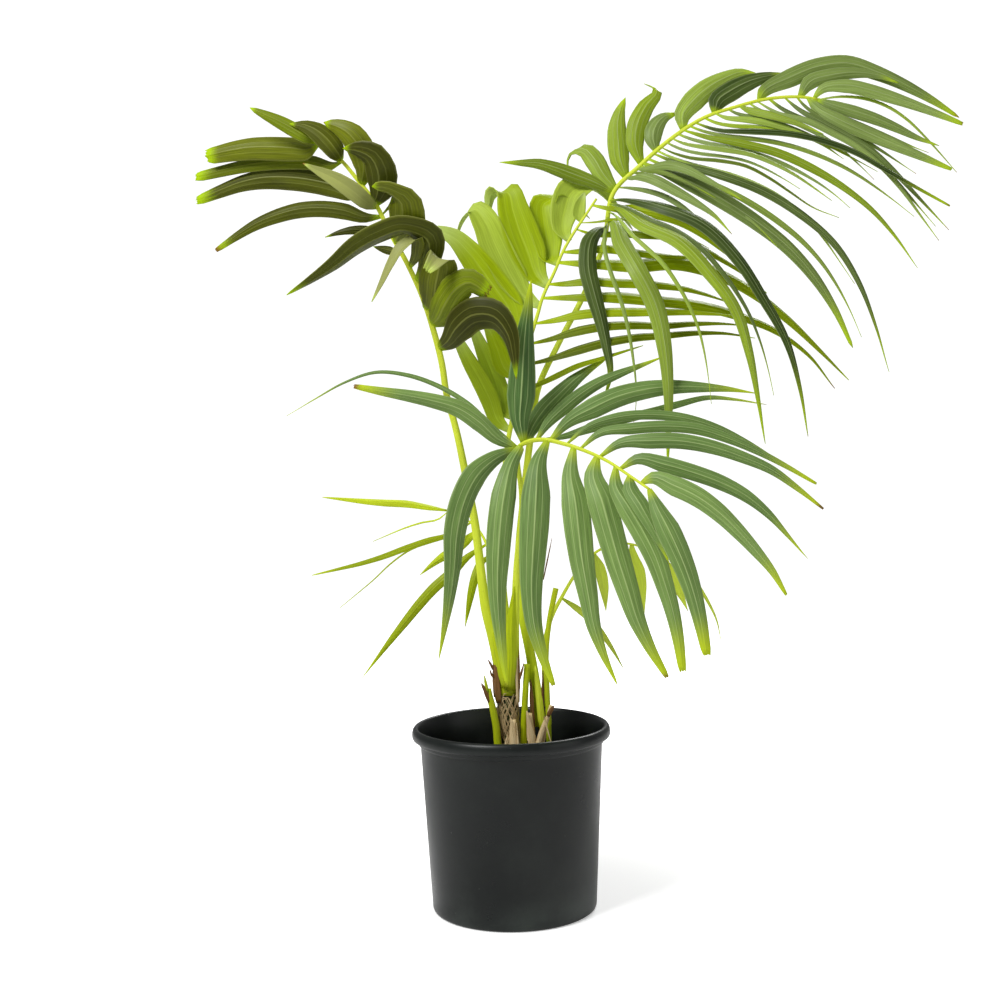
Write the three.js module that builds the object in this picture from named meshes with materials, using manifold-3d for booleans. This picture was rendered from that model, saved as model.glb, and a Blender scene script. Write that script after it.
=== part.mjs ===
// A potted feather palm: a tapered nursery pot, its potting mix, two stems with old leaf bases,
// and six fronds, each a stalk with rows of leaflets. Millimetres, +Z up; the origin is the
// middle of the pot's underside, and -Y is the side that the front frond leans to.
import * as THREE from "three";
import { mergeVertices } from "three/addons/utils/BufferGeometryUtils.js";
import Module from "manifold-3d";

// Pot sizes.
const POT_HEIGHT = 231;
const POT_BASE_RADIUS = 103.6;
const POT_TOP_RADIUS = 114.5;
const POT_WALL = 2.4;
const POT_FLOOR = 4;
const FOOT_CHAMFER = 3;
const RIM_OVERHANG = 10.5;
const RIM_DEPTH = 15;
const RIM_INNER_STEP = 3;
const DRAIN_HOLE_RADIUS = 7;
const DRAIN_HOLES = 6;
const DRAIN_CIRCLE_SHARE = 0.72;

// Planting sizes.
const MIX_DEPTH_BELOW_RIM = 61;
const ROOT_DEPTH = 32;
const CLEARANCE = 0.35;

// Plant sizes. The plant's points are given in a frame whose mix surface is at this height.
const PLANT_SCALE = 1;
const MIX_SURFACE_IN_PLANT_FRAME = 165;
// Rows of leaflets are laid out in front elevation, as seen from this far in front of the pot's
// middle and this high, so that giving a leaflet more depth keeps its place in that elevation.
const LAYOUT_DISTANCE = 1742;
const LAYOUT_HEIGHT = 570;
const MAIN_STEM_RADIUS = 12;
const STEM_RADIUS_IN_PLANT_FRAME = 12;
const MAIN_STEM_X = -3.5;
const MAIN_STEM_TOP = 262;
const CROWN_SHEATH_TOP = 334;
const CROWN_SHEATH_RADIUS = 13;
const RIGHT_STEM_RADIUS = 9.5;
const FIBRE_THICKNESS = 1.6;
const LEAFLET_THICKNESS = 1.2;
const LEAFLET_RIDGE = 0.13;
const RIDGE_STRIP_RADIUS = 1.7;

const POT_SIDES = 48;
const STALK_SIDES = 8;
const STEM_SIDES = 14;
const RING_PITCH = 40;

const rimRadius = POT_TOP_RADIUS + RIM_OVERHANG;
const rimInnerRadius = POT_TOP_RADIUS + RIM_INNER_STEP;
const drainCircleRadius = DRAIN_CIRCLE_SHARE * POT_BASE_RADIUS;
const mixTop = POT_HEIGHT - MIX_DEPTH_BELOW_RIM;

const COLOURS = {
  pot: 0x2d302f,
  mix: 0x2b211a,
  stem: 0x6b6a2c,
  fibre: 0xa48b66,
  sheath: 0x8fae14,
  dry: 0xb59d78,
  stub: 0xa8a81c,
  stalk: 0xa9c93a,
  olive: 0x4a4e24,
  lime: 0x9dbb12,
  sage: 0x7f9560,
  deep: 0x3f6044,
  young: 0x9abd2a,
};

const wasm = await Module();
wasm.setup();

function material(colour, roughness = 0.6) {
  return new THREE.MeshStandardMaterial({ color: colour, roughness, metalness: 0 });
}

// A closed geometry as a solid that can be cut and joined.
function solid(geometry) {
  const bare = geometry.clone();
  bare.deleteAttribute("normal");
  bare.deleteAttribute("uv");
  const merged = mergeVertices(bare, 1e-4);
  return new wasm.Manifold(
    new wasm.Mesh({
      numProp: 3,
      vertProperties: new Float32Array(merged.attributes.position.array),
      triVerts: new Uint32Array(merged.index.array),
    }),
  );
}

function geometryOf(body) {
  const mesh = body.getMesh();
  const geometry = new THREE.BufferGeometry();
  geometry.setAttribute("position", new THREE.BufferAttribute(mesh.vertProperties, 3));
  geometry.setIndex(new THREE.BufferAttribute(mesh.triVerts, 1));
  return geometry;
}

// The biggest body of a cut solid: slivers that a cut leaves beside it are dropped.
function biggest(body) {
  const bodies = body.decompose();
  return bodies.reduce((most, next) => (next.volume() > most.volume() ? next : most));
}

const palm = new THREE.Group();

function add(name, body, colour, roughness) {
  const mesh = new THREE.Mesh(geometryOf(body), material(colour, roughness));
  mesh.name = name;
  palm.add(mesh);
}

// A point of the plant, placed on the mix surface and scaled.
function plantPoint([x, y, z]) {
  return new THREE.Vector3(
    x * PLANT_SCALE,
    y * PLANT_SCALE,
    mixTop + (z - MIX_SURFACE_IN_PLANT_FRAME) * PLANT_SCALE,
  );
}

// A point beside the main stem, moved outwards by as much as the stem is wider than in the
// plant's frame, so that what stands beside the stem stays clear of it.
function besideStem([x, y, z]) {
  const fromAxis = new THREE.Vector2(x - MAIN_STEM_X, y);
  fromAxis.setLength(fromAxis.length() + MAIN_STEM_RADIUS - STEM_RADIUS_IN_PLANT_FRAME);
  return [fromAxis.x + MAIN_STEM_X, fromAxis.y, z];
}

// A point drawn on the upright plane at depth plane, moved along its line of sight to depth y.
function laidOut([x, y, z], plane) {
  const spread = (LAYOUT_DISTANCE + y) / (LAYOUT_DISTANCE + plane);
  return [x * spread, y, LAYOUT_HEIGHT + (z - LAYOUT_HEIGHT) * spread];
}

function curveThrough(points) {
  return new THREE.CatmullRomCurve3(points, false, "centripetal");
}

// A closed body through rings of the same number of points; a last ring of one point is an apex.
function loft(rings) {
  const sides = rings[0].length;
  const positions = [];
  const index = [];
  for (const ring of rings) {
    for (const point of ring) positions.push(point.x, point.y, point.z);
  }
  const last = rings.length - 1;
  const pointed = rings[last].length === 1;
  for (let i = 0; i < (pointed ? last - 1 : last); i++) {
    for (let j = 0; j < sides; j++) {
      const k = (j + 1) % sides;
      const a = i * sides;
      const b = a + sides;
      index.push(a + j, a + k, b + k, a + j, b + k, b + j);
    }
  }
  for (let j = 1; j < sides - 1; j++) index.push(0, j + 1, j);
  if (pointed) {
    const a = (last - 1) * sides;
    for (let j = 0; j < sides; j++) index.push(a + j, a + ((j + 1) % sides), a + sides);
  } else {
    const a = last * sides;
    for (let j = 1; j < sides - 1; j++) index.push(a, a + j, a + j + 1);
  }
  const geometry = new THREE.BufferGeometry();
  geometry.setAttribute("position", new THREE.Float32BufferAttribute(positions, 3));
  geometry.setIndex(index);
  return geometry;
}

// A round rod along a curve, its radius going from first to last, grown all over by extra.
function rod(curve, first, last, extra = 0, sides = STALK_SIDES, steps = 0) {
  const count = steps || Math.max(3, Math.round(curve.getLength() / RING_PITCH));
  const frames = curve.computeFrenetFrames(count, false);
  const rings = [];
  for (let i = 0; i <= count; i++) {
    const centre = curve.getPointAt(i / count);
    const radius = THREE.MathUtils.lerp(first, last, i / count) + extra;
    const ring = [];
    for (let j = 0; j < sides; j++) {
      const angle = (2 * Math.PI * j) / sides;
      ring.push(
        centre
          .clone()
          .addScaledVector(frames.normals[i], radius * Math.cos(angle))
          .addScaledVector(frames.binormals[i], radius * Math.sin(angle)),
      );
    }
    rings.push(ring);
  }
  return solid(loft(rings));
}

// The share of a leaflet's full width at s along it: narrow at the base, and tip at the end.
function widthShare(s, tip) {
  const opening = 0.3 + 0.7 * THREE.MathUtils.smoothstep(s, 0, 0.28);
  const closing = Math.pow(THREE.MathUtils.clamp((s - 0.42) / 0.58, 0, 1), 1.7);
  return opening * (1 - (1 - tip) * closing);
}

// One leaflet from its base point on the midrib through its own points: a shallow tent in
// section, with its ridge on the side that faces upper at the base.
function leaflet([width, tip, upper, ...points], base, start) {
  const path = points.slice(1).map(plantPoint);
  const away = path[0].clone().sub(base).normalize();
  const first = base.clone().addScaledVector(away, start);
  const curve = curveThrough([first, ...path]);
  const length = curve.getLength();
  const count = THREE.MathUtils.clamp(Math.round(length / RING_PITCH) + 3, 6, 9);
  const rings = [];
  let across = null;
  for (let i = 0; i < count; i++) {
    const s = (i / (count - 1)) * (1 - (0.25 * width * Math.max(tip, 0.15)) / length);
    const along = curve.getTangentAt(s);
    if (across === null) across = new THREE.Vector3().crossVectors(along, upper);
    across.addScaledVector(along, -across.dot(along)).normalize();
    const up = new THREE.Vector3().crossVectors(across, along);
    const centre = curve.getPointAt(s);
    const half = (width * PLANT_SCALE * Math.max(widthShare(s, tip), 0.06)) / 2;
    const thick = LEAFLET_THICKNESS * THREE.MathUtils.clamp(half / 4, 0.35, 1);
    const ridge = thick / 2 + 2 * LEAFLET_RIDGE * half;
    rings.push([
      centre.clone().addScaledVector(across, -half),
      centre.clone().addScaledVector(up, ridge + thick / 2),
      centre.clone().addScaledVector(across, half),
      centre.clone().addScaledVector(up, ridge - thick / 2),
    ]);
  }
  rings.push([curve.getPointAt(1)]);
  return solid(loft(rings));
}

// The nearest point of a stalk's curve to a plant point, seen from the front.
function nearestOn(curve, point) {
  const target = plantPoint(point);
  let best = 0;
  let least = Infinity;
  for (let i = 0; i <= 500; i++) {
    const p = curve.getPointAt(i / 500);
    const distance = Math.hypot(p.x - target.x, p.z - target.z);
    if (distance < least) {
      least = distance;
      best = i / 500;
    }
  }
  return best;
}

// Directions that a leaflet's upper side faces.
const FRONT = new THREE.Vector3(0, -1, 0.15);
const BACK = new THREE.Vector3(0, 1, 0.15);
const SKY = new THREE.Vector3(0, -0.25, 1);
const SKY_BACK = new THREE.Vector3(0, 0.55, 1);
const SKY_FRONT = new THREE.Vector3(0, -0.9, 0.9);
const LEFT_FRONT = new THREE.Vector3(-0.5, -1, 0.2);

// Stalks: radius at the foot, radius at the tip, then the points from foot to tip.
const STALKS = {
  left: [
    5.2, 1.7,
    [-8, -4, 272], [-12, -6, 302], [-19, -8, 337], [-28, -11, 375], [-34, -13, 430], [-39, -14, 480],
    [-48, -16, 535], [-60, -18, 600], [-70, -22, 640], [-75, -26, 680], [-84, -30, 720],
    [-96, -36, 760], [-113, -40, 800], [-134, -43, 840], [-150, -45, 874], [-171, -46, 903],
    [-193, -44, 930], [-220, -40, 951],
  ],
  centre: [
    5, 1.5,
    [2, 7, 272], [-1, 7, 330], [-6, 7, 400], [-6, 8, 460], [-2, 9, 530], [4, 10, 580],
    [18, 13, 640], [32, 17, 700], [45, 21, 740], [53, 23, 765], [68, 26, 795], [80, 29, 822],
    [94, 31, 845], [108, 33, 865], [124, 35, 888],
  ],
  tall: [
    5.2, 1.7,
    [36, 4.5, 222], [33, 6, 262], [27, 10, 310], [18, 12, 360], [14, 14, 410], [16, 18, 455],
    [24, 25, 520], [34, 33, 590], [45, 42, 650], [70, 48, 702], [107, 53, 770], [134, 54, 836],
    [147, 53, 898], [180, 50, 930], [222, 45, 964], [264, 43, 989], [303, 42, 1001],
    [343, 41, 1010], [384, 41, 1012], [408, 40, 1008],
  ],
  front: [
    5, 1.5,
    [6, -5, 272], [7, -9, 330], [10, -13, 400], [13, -20, 440], [18, -32, 480], [19, -46, 520],
    [15, -58, 558], [16, -63, 574], [28, -70, 581], [46, -78, 583], [68, -91, 578],
    [93, -107, 569], [118, -134, 556], [138, -162, 541], [160, -188, 524],
  ],
  low_left: [
    3.6, 1.2,
    [-9, 9, 272], [-12, 15, 330], [-14, 19, 390], [-22, 27, 440], [-36, 35, 471], [-55, 40, 486],
    [-76, 42, 496],
  ],
  low_right: [
    3.6, 1.2,
    [47, 12, 222], [45, 13, 275], [45, 14, 320], [53, 16, 354], [69, 20, 384], [88, 26, 413],
    [108, 32, 434], [130, 36, 446], [155, 40, 448], [186, 42, 439],
  ],
};

// Rows of leaflets: the stalk's name, the side of it that the row grows from, and its leaflets,
// each its width, the share of that left at its tip, the way its upper side faces, the point of
// the midrib it grows from, and its own points out to the tip.
const ROWS = {
  left_frond_lower_leaflets: {
    stalk: "left", side: [-1, 0.4, -0.3], plane: 0, colour: COLOURS.olive,
    leaflets: [
      [26, 0.75, FRONT, [-206, 0, 940], [-250, -18, 951], [-310, -5, 953], [-362, 5, 945]],
      [16, 0.8, FRONT, [-181, 0, 915], [-229, -14, 934], [-300, 2, 934], [-376, 15, 920]],
      [25, 0.5, FRONT, [-152, 0, 876], [-198, -20, 902], [-250, -5, 914], [-305, 5, 914], [-376, 18, 891]],
      [18, 0.35, FRONT, [-137, 0, 846], [-180, -28, 870], [-240, -15, 877], [-300, -5, 861], [-354, 0, 829]],
      [10, 0.1, FRONT, [-131, 0, 834], [-165, -34, 849], [-192, -32, 849], [-218, -28, 842]],
      [9, 0.1, FRONT, [-122, 0, 816], [-140, -32, 824], [-158, -24, 829]],
    ],
  },
  left_frond_upper_leaflets: {
    stalk: "left", side: [1, -0.6, 0.4], plane: 0, colour: COLOURS.olive,
    leaflets: [
      [13, 0.25, FRONT, [-214, 0, 946], [-238, -48, 966], [-262, -42, 981], [-307, -34, 1004]],
      [20, 0.1, FRONT, [-187, 0, 922], [-200, -56, 946], [-216, -56, 966], [-236, -52, 979], [-258, -48, 983]],
      [24, 0.2, FRONT, [-168, 0, 899], [-166, -60, 930], [-172, -65, 953], [-187, -64, 972], [-216, -56, 984]],
      [30, 0.1, FRONT, [-152, 0, 878], [-146, -66, 908], [-149, -76, 932], [-162, -78, 946], [-193, -70, 951]],
      [15, 0.1, BACK, [-146, 0, 866], [-168, -62, 886], [-190, -70, 905], [-243, -66, 934]],
      [38, 0.25, FRONT, [-128, 0, 828], [-117, -70, 858], [-117, -84, 884], [-126, -90, 897], [-158, -82, 903]],
      [14, 0.1, FRONT, [-112, 0, 798], [-103, -74, 828], [-108, -84, 843], [-130, -84, 820], [-146, -82, 790],
        [-162, -80, 760]],
      [28, 0.08, FRONT, [-100, 0, 770], [-91, -58, 805], [-88, -74, 836], [-103, -80, 853], [-135, -78, 851],
        [-175, -70, 834], [-215, -64, 804], [-268, -58, 771]],
      [32, 0.3, FRONT, [-90, 0, 740], [-82, -60, 772], [-76, -76, 802], [-71, -86, 821], [-78, -98, 812],
        [-92, -102, 798]],
      [30, 0.5, FRONT, [-85, 0, 724], [-71, -62, 752], [-54, -80, 776], [-36, -90, 783], [-16, -92, 768]],
      [28, 0.05, FRONT, [-77, 0, 694], [-62, -58, 716], [-45, -78, 736], [-24, -90, 744], [-2, -98, 736],
        [11, -102, 712], [16, -104, 660]],
      [5, 0.1, LEFT_FRONT, [-142, 0, 858], [-130, -40, 893], [-138, -34, 922], [-147, -28, 948]],
    ],
  },
  centre_frond_broad_leaflets: {
    stalk: "centre", side: [-1, 0.5, 0.2], plane: 0, colour: COLOURS.lime,
    leaflets: [
      [18, 0.3, BACK, [4, 0, 583], [-19, 22, 640], [-46, 34, 692], [-64, 40, 730]],
      [19, 0.3, BACK, [8, 0, 598], [-8, 36, 654], [-28, 46, 706], [-42, 47, 740]],
      [18, 0.2, BACK, [15, 0, 626], [2, 28, 674], [-13, 40, 716], [-24, 46, 746]],
      [18, 0.2, BACK, [22, 0, 655], [12, 44, 692], [-2, 52, 728], [-20, 60, 744], [-40, 68, 736]],
      [30, 0.3, BACK, [33, 0, 702], [10, 30, 748], [-18, 40, 790], [-45, 48, 826], [-68, 54, 846], [-84, 60, 848]],
      [30, 0.1, BACK, [46, 0, 744], [24, 34, 770], [10, 40, 794], [-6, 46, 828], [-20, 52, 862], [-31, 62, 875],
        [-45, 70, 862], [-55, 74, 828]],
      [33, 0.1, BACK, [53, 0, 765], [44, 34, 792], [33, 40, 824], [21, 46, 858], [12, 54, 890], [5, 64, 901],
        [-8, 72, 893], [-14, 76, 862]],
      [28, 0.1, BACK, [66, 0, 792], [62, 40, 816], [58, 48, 846], [55, 56, 874], [62, 64, 888], [82, 70, 885],
        [99, 72, 872], [113, 74, 857]],
      [28, 0.1, BACK, [82, 0, 825], [79, 44, 851], [85, 52, 879], [98, 60, 900], [119, 66, 901], [139, 70, 880],
        [166, 72, 842]],
      [12, 0.2, BACK, [102, 0, 857], [101, 44, 874], [107, 54, 890]],
    ],
  },
  centre_frond_edge_leaflets: {
    stalk: "centre", side: [1, -0.5, -0.1], plane: 20, colour: COLOURS.lime,
    leaflets: [
      [11, 0.05, SKY_FRONT, [112, 0, 870], [138, 24, 872], [160, 34, 871], [186, 16, 868], [236, 6, 852], [290, 4, 812], [327, 4, 776]],
      [10, 0.05, SKY, [98, 0, 850], [128, 20, 857], [150, 30, 858], [178, 22, 855], [222, 6, 842], [264, 6, 820]],
      [10, 0.05, SKY_FRONT, [86, 0, 832], [120, 31, 841], [150, 28, 841], [176, 14, 839], [222, 2, 834], [300, 2, 792], [336, 2, 762]],
      [12, 0.05, SKY_FRONT, [75, 0, 811], [108, 12, 822], [150, 4, 820], [200, 0, 812], [262, 0, 808]],
      [20, 0.05, SKY_FRONT, [64, 0, 788], [105, 8, 803], [160, 0, 800], [225, -2, 802], [290, 0, 780],
        [350, 2, 738], [400, 4, 690], [438, 6, 650]],
      [13, 0.05, SKY_FRONT, [55, 0, 768], [90, 4, 782], [130, -2, 780], [190, -4, 776], [240, -4, 768], [292, -4, 750]],
      [16, 0.05, SKY_FRONT, [47, 0, 744], [80, 0, 760], [130, -6, 762], [190, -4, 756], [250, 0, 748], [330, 4, 722],
        [380, 6, 690], [420, 6, 640]],
      [14, 0.05, SKY_FRONT, [40, 0, 724], [73, -4, 736], [120, -10, 742], [180, -12, 742], [240, -12, 740],
        [300, -12, 734]],
      [14, 0.05, SKY_FRONT, [33, 0, 702], [66, -8, 712], [107, -14, 722], [150, -16, 726], [200, -16, 724],
        [262, -16, 726], [310, -16, 722]],
      [15, 0.05, SKY_FRONT, [27, 0, 680], [62, -12, 686], [100, -18, 697], [150, -20, 708], [210, -20, 712],
        [270, -20, 714], [320, -20, 706]],
      [13, 0.1, SKY_FRONT, [20, 0, 650], [52, -16, 656], [84, -22, 672], [130, -24, 686], [178, -24, 700]],
    ],
  },
  tall_frond_upper_leaflets: {
    stalk: "tall", side: [-0.7, 0.4, 1], plane: 40, colour: COLOURS.sage,
    leaflets: [
      [20, 0.05, FRONT, [146, 0, 892], [118, 56, 912], [90, 60, 921], [62, 62, 933], [36, 64, 936], [2, 64, 938]],
      [26, 0.2, FRONT, [151, 0, 904], [130, 60, 924], [118, 68, 945], [104, 74, 952], [92, 78, 944], [88, 80, 922]],
      [28, 0.15, FRONT, [162, 0, 914], [154, 58, 950], [153, 62, 985], [158, 66, 1002], [164, 68, 1016]],
      [26, 0.05, FRONT, [181, 0, 931], [175, 56, 965], [184, 62, 995], [199, 68, 1015], [206, 72, 1029],
        [188, 74, 1033]],
      [24, 0.3, FRONT, [201, 0, 948], [199, 54, 972], [210, 60, 988], [226, 64, 994]],
      [28, 0.1, FRONT, [228, 0, 968], [239, 52, 996], [262, 58, 1020], [292, 62, 1037], [315, 64, 1044],
        [336, 64, 1040]],
      [26, 0.1, FRONT, [264, 0, 988], [286, 50, 1012], [312, 56, 1028], [345, 60, 1038], [372, 62, 1041]],
      [24, 0.2, FRONT, [305, 0, 1001], [336, 48, 1017], [370, 54, 1034], [405, 56, 1047], [440, 56, 1052],
        [490, 52, 1037], [545, 46, 1009], [588, 42, 981]],
      [19, 0.1, FRONT, [345, 0, 1009], [378, 44, 1022], [412, 46, 1034], [445, 46, 1040], [478, 44, 1038],
        [512, 40, 1026]],
      [17, 0.4, FRONT, [382, 0, 1011], [412, 38, 1020], [445, 34, 1024], [482, 30, 1015], [536, 24, 996],
        [592, 18, 973]],
      [8, 0.05, SKY_FRONT, [406, 0, 1009], [430, 40, 1011], [458, 38, 1010], [484, 36, 1003], [512, 32, 988],
        [545, 28, 957], [584, 22, 912]],
    ],
  },
  tall_frond_lower_leaflets: {
    stalk: "tall", side: [0.2, -1, -0.5], plane: 40, colour: COLOURS.sage,
    leaflets: [
      [18, 0.1, FRONT, [400, 0, 1009], [440, 22, 996], [490, 12, 978], [540, 4, 954], [562, 0, 946]],
      [20, 0.35, FRONT, [385, 0, 1011], [428, 14, 984], [480, 0, 959], [530, -10, 937], [577, -18, 916]],
      [10, 0.05, FRONT, [360, 0, 1011], [400, 10, 986], [436, 0, 966], [478, -10, 940], [522, -22, 895],
        [573, -34, 839]],
      [9, 0.05, FRONT, [334, 0, 1008], [362, 12, 990], [392, 0, 982], [428, -8, 964], [462, -18, 944],
        [502, -28, 906], [530, -34, 868], [560, -40, 826]],
      [12, 0.05, FRONT, [304, 0, 1001], [345, 6, 990], [388, -8, 976], [415, -18, 964]],
      [9, 0.05, FRONT, [268, 0, 990], [306, 20, 986], [350, 6, 978], [405, -8, 956], [440, -18, 932]],
      [16, 0.4, SKY_FRONT, [246, 0, 979], [292, 12, 971], [350, -4, 968], [400, -16, 960], [455, -28, 940],
        [505, -38, 910], [574, -50, 870]],
      [12, 0.05, FRONT, [232, 0, 970], [290, 0, 959], [358, -14, 941], [415, -28, 912], [465, -40, 876],
        [500, -50, 838], [532, -58, 792]],
      [12, 0.05, SKY_FRONT, [219, 0, 961], [270, -4, 950], [320, -16, 941], [372, -30, 917], [424, -40, 880]],
      [9, 0.05, SKY_FRONT, [207, 0, 952], [256, -10, 936], [305, -22, 930], [352, -34, 906], [396, -44, 874],
        [433, -50, 858]],
      [12, 0.03, FRONT, [196, 0, 943], [266, -18, 920], [312, -32, 905], [360, -44, 880], [400, -56, 850],
        [434, -64, 815], [466, -74, 754], [494, -82, 660]],
      [22, 0.25, FRONT, [184, 0, 934], [240, -24, 908], [308, -42, 868], [352, -54, 834], [382, -64, 806],
        [420, -76, 752], [448, -84, 692]],
      [14, 0.05, FRONT, [174, 0, 926], [226, -30, 928], [268, -50, 908], [312, -64, 882]],
      [16, 0.05, FRONT, [163, 0, 916], [192, -28, 914], [236, -50, 890], [272, -64, 866], [296, -70, 840]],
      [20, 0.03, FRONT, [152, 0, 905], [176, -20, 880], [219, -44, 872], [278, -66, 838], [325, -80, 772],
        [361, -88, 708], [380, -94, 640], [389, -98, 580]],
      [22, 0.03, FRONT, [147, 0, 894], [174, -30, 858], [215, -58, 842], [256, -76, 803], [295, -88, 752],
        [315, -96, 690], [334, -102, 572]],
      [26, 0.03, FRONT, [144, 0, 880], [158, -34, 826], [174, -58, 798], [190, -66, 770], [205, -70, 712],
        [211, -74, 640], [208, -72, 540]],
      [24, 0.03, FRONT, [140, 0, 862], [120, 14, 842], [112, -6, 826], [112, -14, 794], [123, -22, 750],
        [132, -28, 708], [137, -32, 660], [127, -34, 630]],
    ],
  },
  low_left_frond_leaflets: {
    stalk: "low_left", side: [-1, 0, -0.3], plane: 0, colour: COLOURS.young,
    leaflets: [
      [11, 0.15, SKY_FRONT, [-74, 0, 496], [-110, 34, 505], [-165, 24, 510], [-230, 14, 518]],
      [5, 0.1, SKY, [-63, 0, 490], [-92, 40, 486], [-124, 36, 478], [-168, 30, 461]],
      [9, 0.2, SKY_FRONT, [-42, 0, 477], [-72, 26, 467], [-110, 20, 457], [-170, 12, 437], [-246, 4, 420]],
      [6, 0.1, SKY, [-49, 0, 483], [-90, 52, 462], [-132, 58, 443], [-170, 60, 411], [-212, 60, 378]],
      [12, 0.05, FRONT, [-29, 0, 458], [-60, 22, 428], [-96, 16, 397], [-137, 10, 350], [-186, 4, 289]],
      [12, 0.1, FRONT, [-36, 0, 471], [-62, 46, 450], [-86, 50, 436], [-110, 50, 417]],
      [10, 0.1, FRONT, [-22, 0, 440], [-36, 14, 426], [-44, 6, 402], [-55, 2, 350]],
    ],
  },
  low_right_frond_leaflets: {
    stalk: "low_right", side: [0.4, 0.3, -1], plane: 0, colour: COLOURS.young,
    leaflets: [
      [13, 0.05, BACK, [112, 0, 437], [117, 34, 418], [121, 32, 395], [123, 30, 366]],
      [13, 0.05, BACK, [150, 0, 448], [161, 38, 430], [168, 35, 405], [171, 32, 360]],
      [15, 0.05, BACK, [180, 0, 441], [199, 40, 420], [213, 37, 395], [226, 34, 364]],
      [5, 0.1, BACK, [186, 0, 439], [216, 50, 425], [243, 50, 390], [262, 50, 352], [267, 50, 326]],
      [9, 0.1, BACK, [60, 0, 368], [84, 12, 372], [104, 6, 355], [126, 2, 325], [143, -2, 294]],
    ],
  },
};

// The front frond's leaflets, each a piece of its own, in the same form as the rows' leaflets.
const FRONT_LEAFLETS = {
  upright: [33, 0.12, FRONT, [17, 0, 577], [19, -68, 610], [22, -70, 650], [26, -74, 700], [31, -78, 738],
    [36, -80, 774]],
  left: [21, 0.5, FRONT, [15, 0, 562], [-20, -74, 596], [-48, -82, 619], [-92, -90, 634], [-133, -94, 642],
    [-177, -96, 651]],
  left_slim: [6, 0.05, FRONT, [15, 0, 570], [-8, -58, 595], [-42, -42, 628], [-84, -34, 654], [-130, -32, 669],
    [-170, -30, 669], [-215, -28, 649], [-268, -26, 620]],
  hanging_1: [32, 0.03, FRONT, [15, 0, 556], [-14, -84, 561], [-42, -106, 534], [-59, -118, 488],
    [-64, -124, 440], [-70, -126, 395], [-83, -126, 328]],
  hanging_2: [30, 0.2, FRONT, [20, 0, 579], [5, -98, 550], [-5, -114, 505], [-11, -126, 452],
    [-13, -130, 400], [-10, -132, 350], [-4, -132, 296]],
  hanging_3: [34, 0.3, FRONT, [42, 0, 583], [39, -102, 558], [35, -118, 520], [31, -130, 470],
    [27, -136, 420], [28, -140, 375], [37, -140, 335], [50, -138, 297]],
  hanging_4: [32, 0.1, FRONT, [70, 0, 578], [78, -114, 532], [82, -130, 485], [86, -142, 440],
    [92, -148, 400], [100, -152, 355], [123, -154, 298]],
  hanging_5: [33, 0.35, FRONT, [91, 0, 570], [103, -132, 537], [112, -148, 500], [122, -158, 458],
    [134, -164, 415], [150, -168, 363], [178, -170, 309]],
  hanging_6: [26, 0.6, FRONT, [115, 0, 558], [131, -156, 517], [151, -170, 480], [169, -178, 440],
    [178, -182, 408], [187, -184, 372], [194, -186, 318]],
  hanging_7: [20, 0.05, FRONT, [130, 0, 547], [150, -182, 506], [166, -194, 474], [180, -200, 440]],
  hanging_8: [26, 0.7, FRONT, [157, 0, 527], [172, -206, 492], [190, -216, 449], [201, -220, 416],
    [209, -222, 382], [216, -224, 341]],
  right_1: [25, 0.15, FRONT, [27, 0, 581], [40, -46, 608], [66, -34, 636], [96, -24, 662], [129, -16, 682]],
  right_2: [17, 0.15, FRONT, [32, 0, 582], [56, -60, 606], [89, -50, 634], [125, -42, 655], [160, -36, 668],
    [198, -32, 682]],
  right_3: [25, 0.05, FRONT, [47, 0, 583], [70, -74, 600], [102, -70, 617], [136, -66, 632], [170, -64, 640],
    [204, -62, 643], [238, -60, 642], [272, -58, 639], [308, -56, 633]],
  right_3_slim: [12, 0.1, FRONT, [39, 0, 583], [70, -54, 586], [120, -46, 600], [190, -42, 616], [250, -40, 630],
    [322, -38, 620]],
  right_4: [12, 0.2, FRONT, [60, 0, 580], [88, -88, 592], [117, -88, 604], [150, -88, 609], [184, -88, 609],
    [217, -88, 604], [246, -88, 595], [280, -86, 579], [356, -84, 531]],
  right_5: [14, 0.45, FRONT, [74, 0, 576], [108, -104, 588], [145, -110, 593], [182, -114, 595],
    [214, -117, 593], [242, -119, 586], [274, -121, 573], [312, -122, 554], [362, -123, 524]],
  right_6: [18, 0.3, FRONT, [97, 0, 567], [128, -126, 575], [160, -136, 578], [192, -143, 578],
    [225, -148, 573], [258, -151, 562], [297, -153, 546], [332, -155, 521], [362, -156, 496]],
  right_7: [19, 0.02, FRONT, [121, 0, 554], [146, -156, 558], [176, -165, 552], [206, -173, 543],
    [236, -179, 532], [281, -184, 505], [336, -190, 442]],
  right_8: [22, 0.3, FRONT, [139, 0, 540], [165, -184, 536], [192, -197, 525], [220, -207, 509],
    [245, -213, 486], [268, -217, 460], [288, -219, 435], [305, -221, 405]],
};

function wallRadiusAt(z) {
  const share = (z - FOOT_CHAMFER) / (POT_HEIGHT - RIM_DEPTH - FOOT_CHAMFER);
  return THREE.MathUtils.lerp(POT_BASE_RADIUS, POT_TOP_RADIUS, share);
}

function lathe(profile) {
  const points = profile.map(([r, z]) => new THREE.Vector2(r, z));
  const geometry = new THREE.LatheGeometry(points, POT_SIDES);
  geometry.rotateX(Math.PI / 2);
  return solid(geometry);
}

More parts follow.
